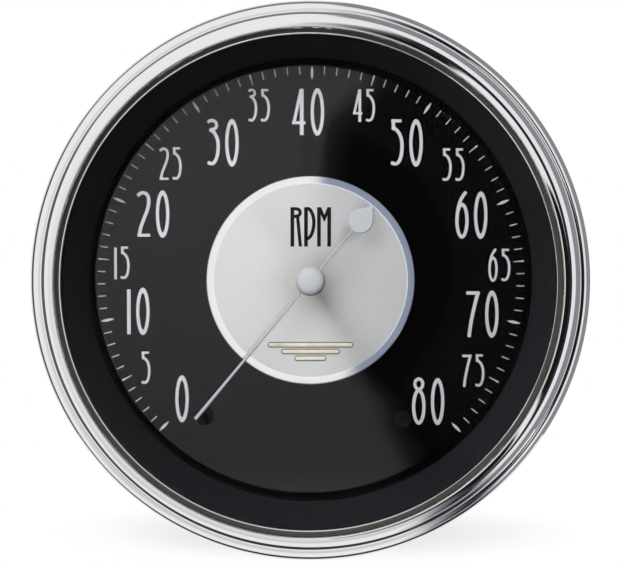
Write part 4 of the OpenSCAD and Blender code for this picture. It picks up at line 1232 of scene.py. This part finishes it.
# Each list is a run of stops, as (degrees, a grey level or a colour), of a ray's lean or of its turn around forward
RIGHT_PANELS = [
    (0, (0.022, 0.024, 0.03)), (14.4, (0.022, 0.024, 0.03)), (15.4, 0.95), (43, 0.95), (45, (0.27, 0.32, 0.43)),
    (57, (0.27, 0.32, 0.43)), (59, 0.24), (70, 0.24), (72, 0.31), (98, 0.31), (100, 0.25), (125, 0.25),
    (130, 1.0), (180, 1.0),
]
DARK_RING = [(58, 1.0), (60, 0.0), (97, 0.0), (99, 1.0)]
RING_SHADES = [
    (-180, 0.12), (-150, 0.12), (-110, 0.05), (-60, 0.05), (-20, 0.12), (40, 0.25), (140, 0.25), (160, 0.12),
    (180, 0.12),
]
LOW_RIGHT = [(-70, 0.0), (-65, 1.0), (-54, 1.0), (-46, 0.0)]
DARK_PANEL = [(6, 0.0), (9, 1.0), (40, 1.0), (42, 0.0), (56, 0.0), (58, 1.0), (95, 1.0), (100, 0.0)]
LOW_FRONT = [(-122, 0.0), (-118, 1.0), (-70, 1.0), (-66, 0.0)]
RIGHT_SECTOR = [(-69, 0.0), (-64, 1.0), (82, 1.0), (87, 0.0)]
LEFT_STRIPS = [
    (-156, 0.01), (-154, 0.95), (-124, 0.95), (-122, 0.01), (145, 0.01), (147, 0.95), (155, 0.95), (157, 0.01),
]


class Sky(Nodes):
    """The nodes of the world."""

    def ramp(self, degrees, stops, low=0.0, high=180.0):
        """A shade that changes with an angle: each stop is its degrees and a grey level or a colour."""
        share = self.math("DIVIDE", self.math("SUBTRACT", degrees, low), high - low)
        made = self.node("ShaderNodeValToRGB", Fac=share)
        elements = made.color_ramp.elements
        while len(elements) < len(stops):
            elements.new(0.5)
        for element, (at, level) in zip(elements, stops):
            element.position = (at - low) / (high - low)
            element.color = (level, level, level, 1) if isinstance(level, float) else (*level, 1)
        return made.outputs["Color"]

    def blend(self, share, first, second):
        """Share of the second colour, and the rest of the first."""
        return self.node("ShaderNodeMix", {"data_type": "RGBA"}, Factor=share, A=first, B=second).outputs["Result"]


def world_light():
    """A plain bright studio with grey panels to the viewer's right.

    A ray's direction gives two angles: how far it leans away from straight forward, and where it points around
    that line, from 0 on the right to 90 straight up. White fills all but the right-hand sector and a dark ring
    at the height of the gauge's own plane. Two strips break the dark of the left front, and there is a dark patch
    at the lower right and a grey one low in front.
    """
    world = bpy.data.worlds.new("studio")
    bpy.context.scene.world = world
    sky = Sky(empty_tree(world))
    split = sky.node("ShaderNodeSeparateXYZ", Vector=sky.node("ShaderNodeTexCoord").outputs["Generated"])
    x, y, z = split.outputs
    strip_from, ahead_to, left_to, left_x, low_to = 4.0, 8.0, 43.0, -0.06, 55.0
    lean = sky.math("MULTIPLY", sky.math("ARCCOSINE", sky.math("MULTIPLY", y, -1.0)), 180 / math.pi)
    around = sky.math("MULTIPLY", sky.math("ARCTAN2", z, x), 180 / math.pi)
    white, black = (1, 1, 1, 1), (0, 0, 0, 1)
    ring = sky.blend(sky.ramp(lean, DARK_RING), sky.ramp(around, RING_SHADES, -180, 180), white)
    light = sky.blend(sky.ramp(around, RIGHT_SECTOR, -180, 180), ring, sky.ramp(lean, RIGHT_PANELS))
    low_right = sky.math("MULTIPLY", sky.ramp(around, LOW_RIGHT, -180, 180), sky.ramp(lean, DARK_PANEL))
    light = sky.blend(low_right, light, (0.03, 0.03, 0.034, 1))
    strips = sky.blend(sky.math("GREATER_THAN", lean, strip_from), black, sky.ramp(around, LEFT_STRIPS, -180, 180))
    low_front = sky.math("MULTIPLY", sky.ramp(around, LOW_FRONT, -180, 180), sky.math("LESS_THAN", lean, low_to))
    light = sky.blend(low_front, light, (0.15, 0.15, 0.15, 1))
    left_front = sky.math("MULTIPLY", sky.math("LESS_THAN", x, left_x), sky.math("LESS_THAN", lean, left_to))
    ahead = sky.math("MULTIPLY", sky.math("LESS_THAN", x, 0.0), sky.math("LESS_THAN", lean, ahead_to))
    left_front = sky.math("MAXIMUM", left_front, ahead)
    light = sky.blend(left_front, light, strips)
    light = sky.blend(sky.node("ShaderNodeLightPath").outputs["Is Camera Ray"], light, white)
    background = sky.node("ShaderNodeBackground", Color=light)
    sky.node("ShaderNodeOutputWorld", Surface=background.outputs[0])


def studio_piece(name, points, faces, material):
    """A thing of the studio, from points in the row frame in metres."""
    mesh = bpy.data.meshes.new(name)
    mesh.from_pydata(points, [], faces)
    mesh.materials.append(material)
    made = bpy.data.objects.new(name, mesh)
    bpy.context.scene.collection.objects.link(made)
    return made


def panel_light():
    """A large soft panel in front and to the left that only polished surfaces show.

    Its right-hand edge is a line of points, and the panel turns clear across a band there. Each row is the edge's
    place across and up, the band's width, and how bright the panel is towards the edge.
    """
    distance, left, white_to, level_from = 45.0, -110.0, -52.0, -42.0
    rows = np.array([
        (43, -110, 14, 1.0), (32, -80, 12, 1.0), (24, -50, 9, 1.0), (22, -44, 8, 0.74), (20.4, -39.5, 7, 0.72),
        (18, -35, 7, 0.73), (15.7, -28.2, 7, 0.77), (1.2, -16, 8, 0.84), (1.2, 25, 8, 1.0), (1.4, 30, 9, 1.0),
        (3.2, 34.6, 9, 1.0), (13.8, 43.5, 8, 1.0), (17, 52, 8, 1.0), (1.2, 62, 8, 1.0), (1.2, 110, 8, 1.0),
    ])
    fall = np.array([(-0.5, 1.0), (0, 0.5), (0.22, 0.24), (0.55, 0.1), (0.9, 0.0)])
    count = len(rows)
    edge, fade, level = rows[:, :1], rows[:, 2:3], rows[:, 3:]
    across = np.concatenate([np.tile([left, white_to, level_from], (count, 1)), edge + fade * fall[:, 0]], 1)
    points = np.stack([across, np.repeat(rows[:, 1:2], 8, 1), np.full((count, 8), distance)], -1)
    cover = np.tile(np.concatenate([[1, 1, 1], fall[:, 1]]), (count, 1))
    glow = np.concatenate([np.ones((count, 2)), np.repeat(level, 6, 1)], 1)
    material = bpy.data.materials.new("panel_light")
    nodes = Nodes(empty_tree(material))
    share, strength = (
        nodes.node("ShaderNodeAttribute", {"attribute_name": name}).outputs["Fac"] for name in ("cover", "glow")
    )
    mirrored = nodes.math("LESS_THAN", nodes.node("ShaderNodeLightPath").outputs["Diffuse Depth"], 0.5)
    clear, lit = nodes.node("ShaderNodeBsdfTransparent"), nodes.node("ShaderNodeEmission", Strength=strength)
    nodes.surface(nodes.math("MULTIPLY", share, mirrored), clear, lit)
    panel = studio_piece("front_panel", stand(points).reshape(-1, 3).tolist(), grid_faces(count, 8).tolist(), material)
    for name, values in (("cover", cover), ("glow", glow)):
        panel.data.attributes.new(name, "FLOAT", "POINT").data.foreach_set("value", values.ravel())
    panel.visible_camera = panel.visible_shadow = panel.visible_diffuse = False


def black_card():
    """A bent black card to the right and below: it keeps stray light off matte surfaces, and no mirror shows it."""
    near, far, side, low, top, left = -0.02, -0.5, 0.055, -0.06, 0.3, -0.4
    points = [(x, y, z) for y in (near, far) for x, z in ((side, top), (side, low), (left, low))]
    black = Finish("card_black", (0.01, 0.01, 0.01), 0.9)
    rays = black.node("ShaderNodeLightPath").outputs
    stops = black.math("MAXIMUM", rays["Is Shadow Ray"], black.math("GREATER_THAN", rays["Diffuse Depth"], 0.5))
    black.surface(stops, black.node("ShaderNodeBsdfTransparent"), black.shader)
    card = studio_piece("black_card", points, [(0, 1, 4, 3), (1, 2, 5, 4)], black.material)
    card.visible_camera = card.visible_glossy = False


def soft_lamp(name, place, size, energy):
    """A square soft lamp turned to the gauge: it lights matte surfaces and shows in no reflection."""
    lamp = bpy.data.lights.new(name, "AREA")
    lamp.shape, lamp.size, lamp.energy = "SQUARE", size, energy
    made = bpy.data.objects.new(name, lamp)
    made.location = place
    made.rotation_euler = (-made.location).to_track_quat("-Z", "Y").to_euler()
    made.visible_camera = made.visible_glossy = made.visible_transmission = False
    bpy.context.scene.collection.objects.link(made)


def floor_finish(colour):
    """Pale floor: white to the camera away from the object, with the object's soft shadow near it."""
    f = Finish("floor_pale", tuple(colour), 0.6)
    f.tint(f.noise(0.01, 2), 0.99, 1.01)
    glow = f.node("ShaderNodeEmission", Color=(1, 1, 1, 1), Strength=1.0)
    shadow_y, squeeze, full_to, none_from, darkest = 0.03, 2.2, 0.015, 0.05, 0.72
    near = f.scaled(1, squeeze, 1, shift=(0, -shadow_y, BEZEL_R * MM))
    away = f.span(f.length(near), full_to, none_from, darkest, 1.0)
    rays = f.node("ShaderNodeLightPath").outputs
    seen = f.math("MAXIMUM", rays["Is Camera Ray"], rays["Is Glossy Ray"])
    seen = f.math("MAXIMUM", seen, rays["Is Transmission Ray"])
    f.surface(f.math("MULTIPLY", seen, away), f.shader, glow)
    return f.material


class TACHO_OT_stage(bpy.types.Operator):
    """Pale floor, soft studio light and the camera at the photograph's viewing angle"""

    bl_idname = "tacho.stage"
    bl_label = "Stage"

    def execute(self, context):
        s = context.scene.tachometer.stage
        scene = context.scene
        floor_z, floor_front, floor_r, floor_squeeze = -BEZEL_R * MM, -0.0054, 0.1, 0.7
        lens, sensor, clip, aim = 61.9, 36.0, 0.01, Vector((0.00025, -0.0054, -0.0002))
        world_light()
        rim = arc((0, floor_front), floor_r, 0, 180, 96)
        points = [(floor_squeeze * x, y, floor_z) for x, y in rim.tolist()]
        floor = studio_piece("floor", points, [list(range(len(rim)))], floor_finish(s.floor))

        panel_light()
        black_card()
        soft_lamp("soft_key", (-0.041, -0.09, 0.054), 0.06, 0.166)
        soft_lamp("top_light", (-0.1, -0.5, 0.5), 0.4, 1.1)

        camera_data = bpy.data.cameras.new("camera")
        camera_data.lens, camera_data.sensor_width, camera_data.clip_start = lens, sensor, clip
        camera = bpy.data.objects.new("camera", camera_data)
        camera.location = (0, -DIAL_FACE * MM - s.distance, s.height)
        camera.rotation_euler = (aim - camera.location).to_track_quat("-Z", "Y").to_euler()
        scene.collection.objects.link(camera)
        scene.camera = camera
        scene.view_settings.view_transform = "Standard"
        return {"FINISHED"}


# ---- Panel and start ----

PIECES = (
    TACHO_OT_bezel, TACHO_OT_glass, TACHO_OT_visor, TACHO_OT_dial, TACHO_OT_numerals, TACHO_OT_disc,
    TACHO_OT_ornament, TACHO_OT_stops, TACHO_OT_pointer, TACHO_OT_inside, TACHO_OT_case, TACHO_OT_studs,
    TACHO_OT_nuts, TACHO_OT_fittings, TACHO_OT_stage,
)


class TACHO_PT_panel(bpy.types.Panel):
    """Lists the pieces of the tachometer"""

    bl_idname = "TACHO_PT_panel"
    bl_label = "Tachometer"
    bl_space_type = "VIEW_3D"
    bl_region_type = "UI"
    bl_category = "Tachometer"

    def draw(self, context):
        for piece in PIECES:
            self.layout.operator(piece.bl_idname)


CLASSES = (
    FrontSettings, DialSettings, PointerSettings, BackSettings, StageSettings, TachometerSettings, *PIECES,
    TACHO_PT_panel,
)


def register():
    for entry in CLASSES:
        bpy.utils.register_class(entry)
    bpy.types.Scene.tachometer = bpy.props.PointerProperty(type=TachometerSettings)


def unregister():
    del bpy.types.Scene.tachometer
    for entry in reversed(CLASSES):
        bpy.utils.unregister_class(entry)


def main():
    register()
    for piece in PIECES:
        getattr(bpy.ops.tacho, piece.bl_idname.split(".")[1])()


if __name__ == "__main__":
    main()
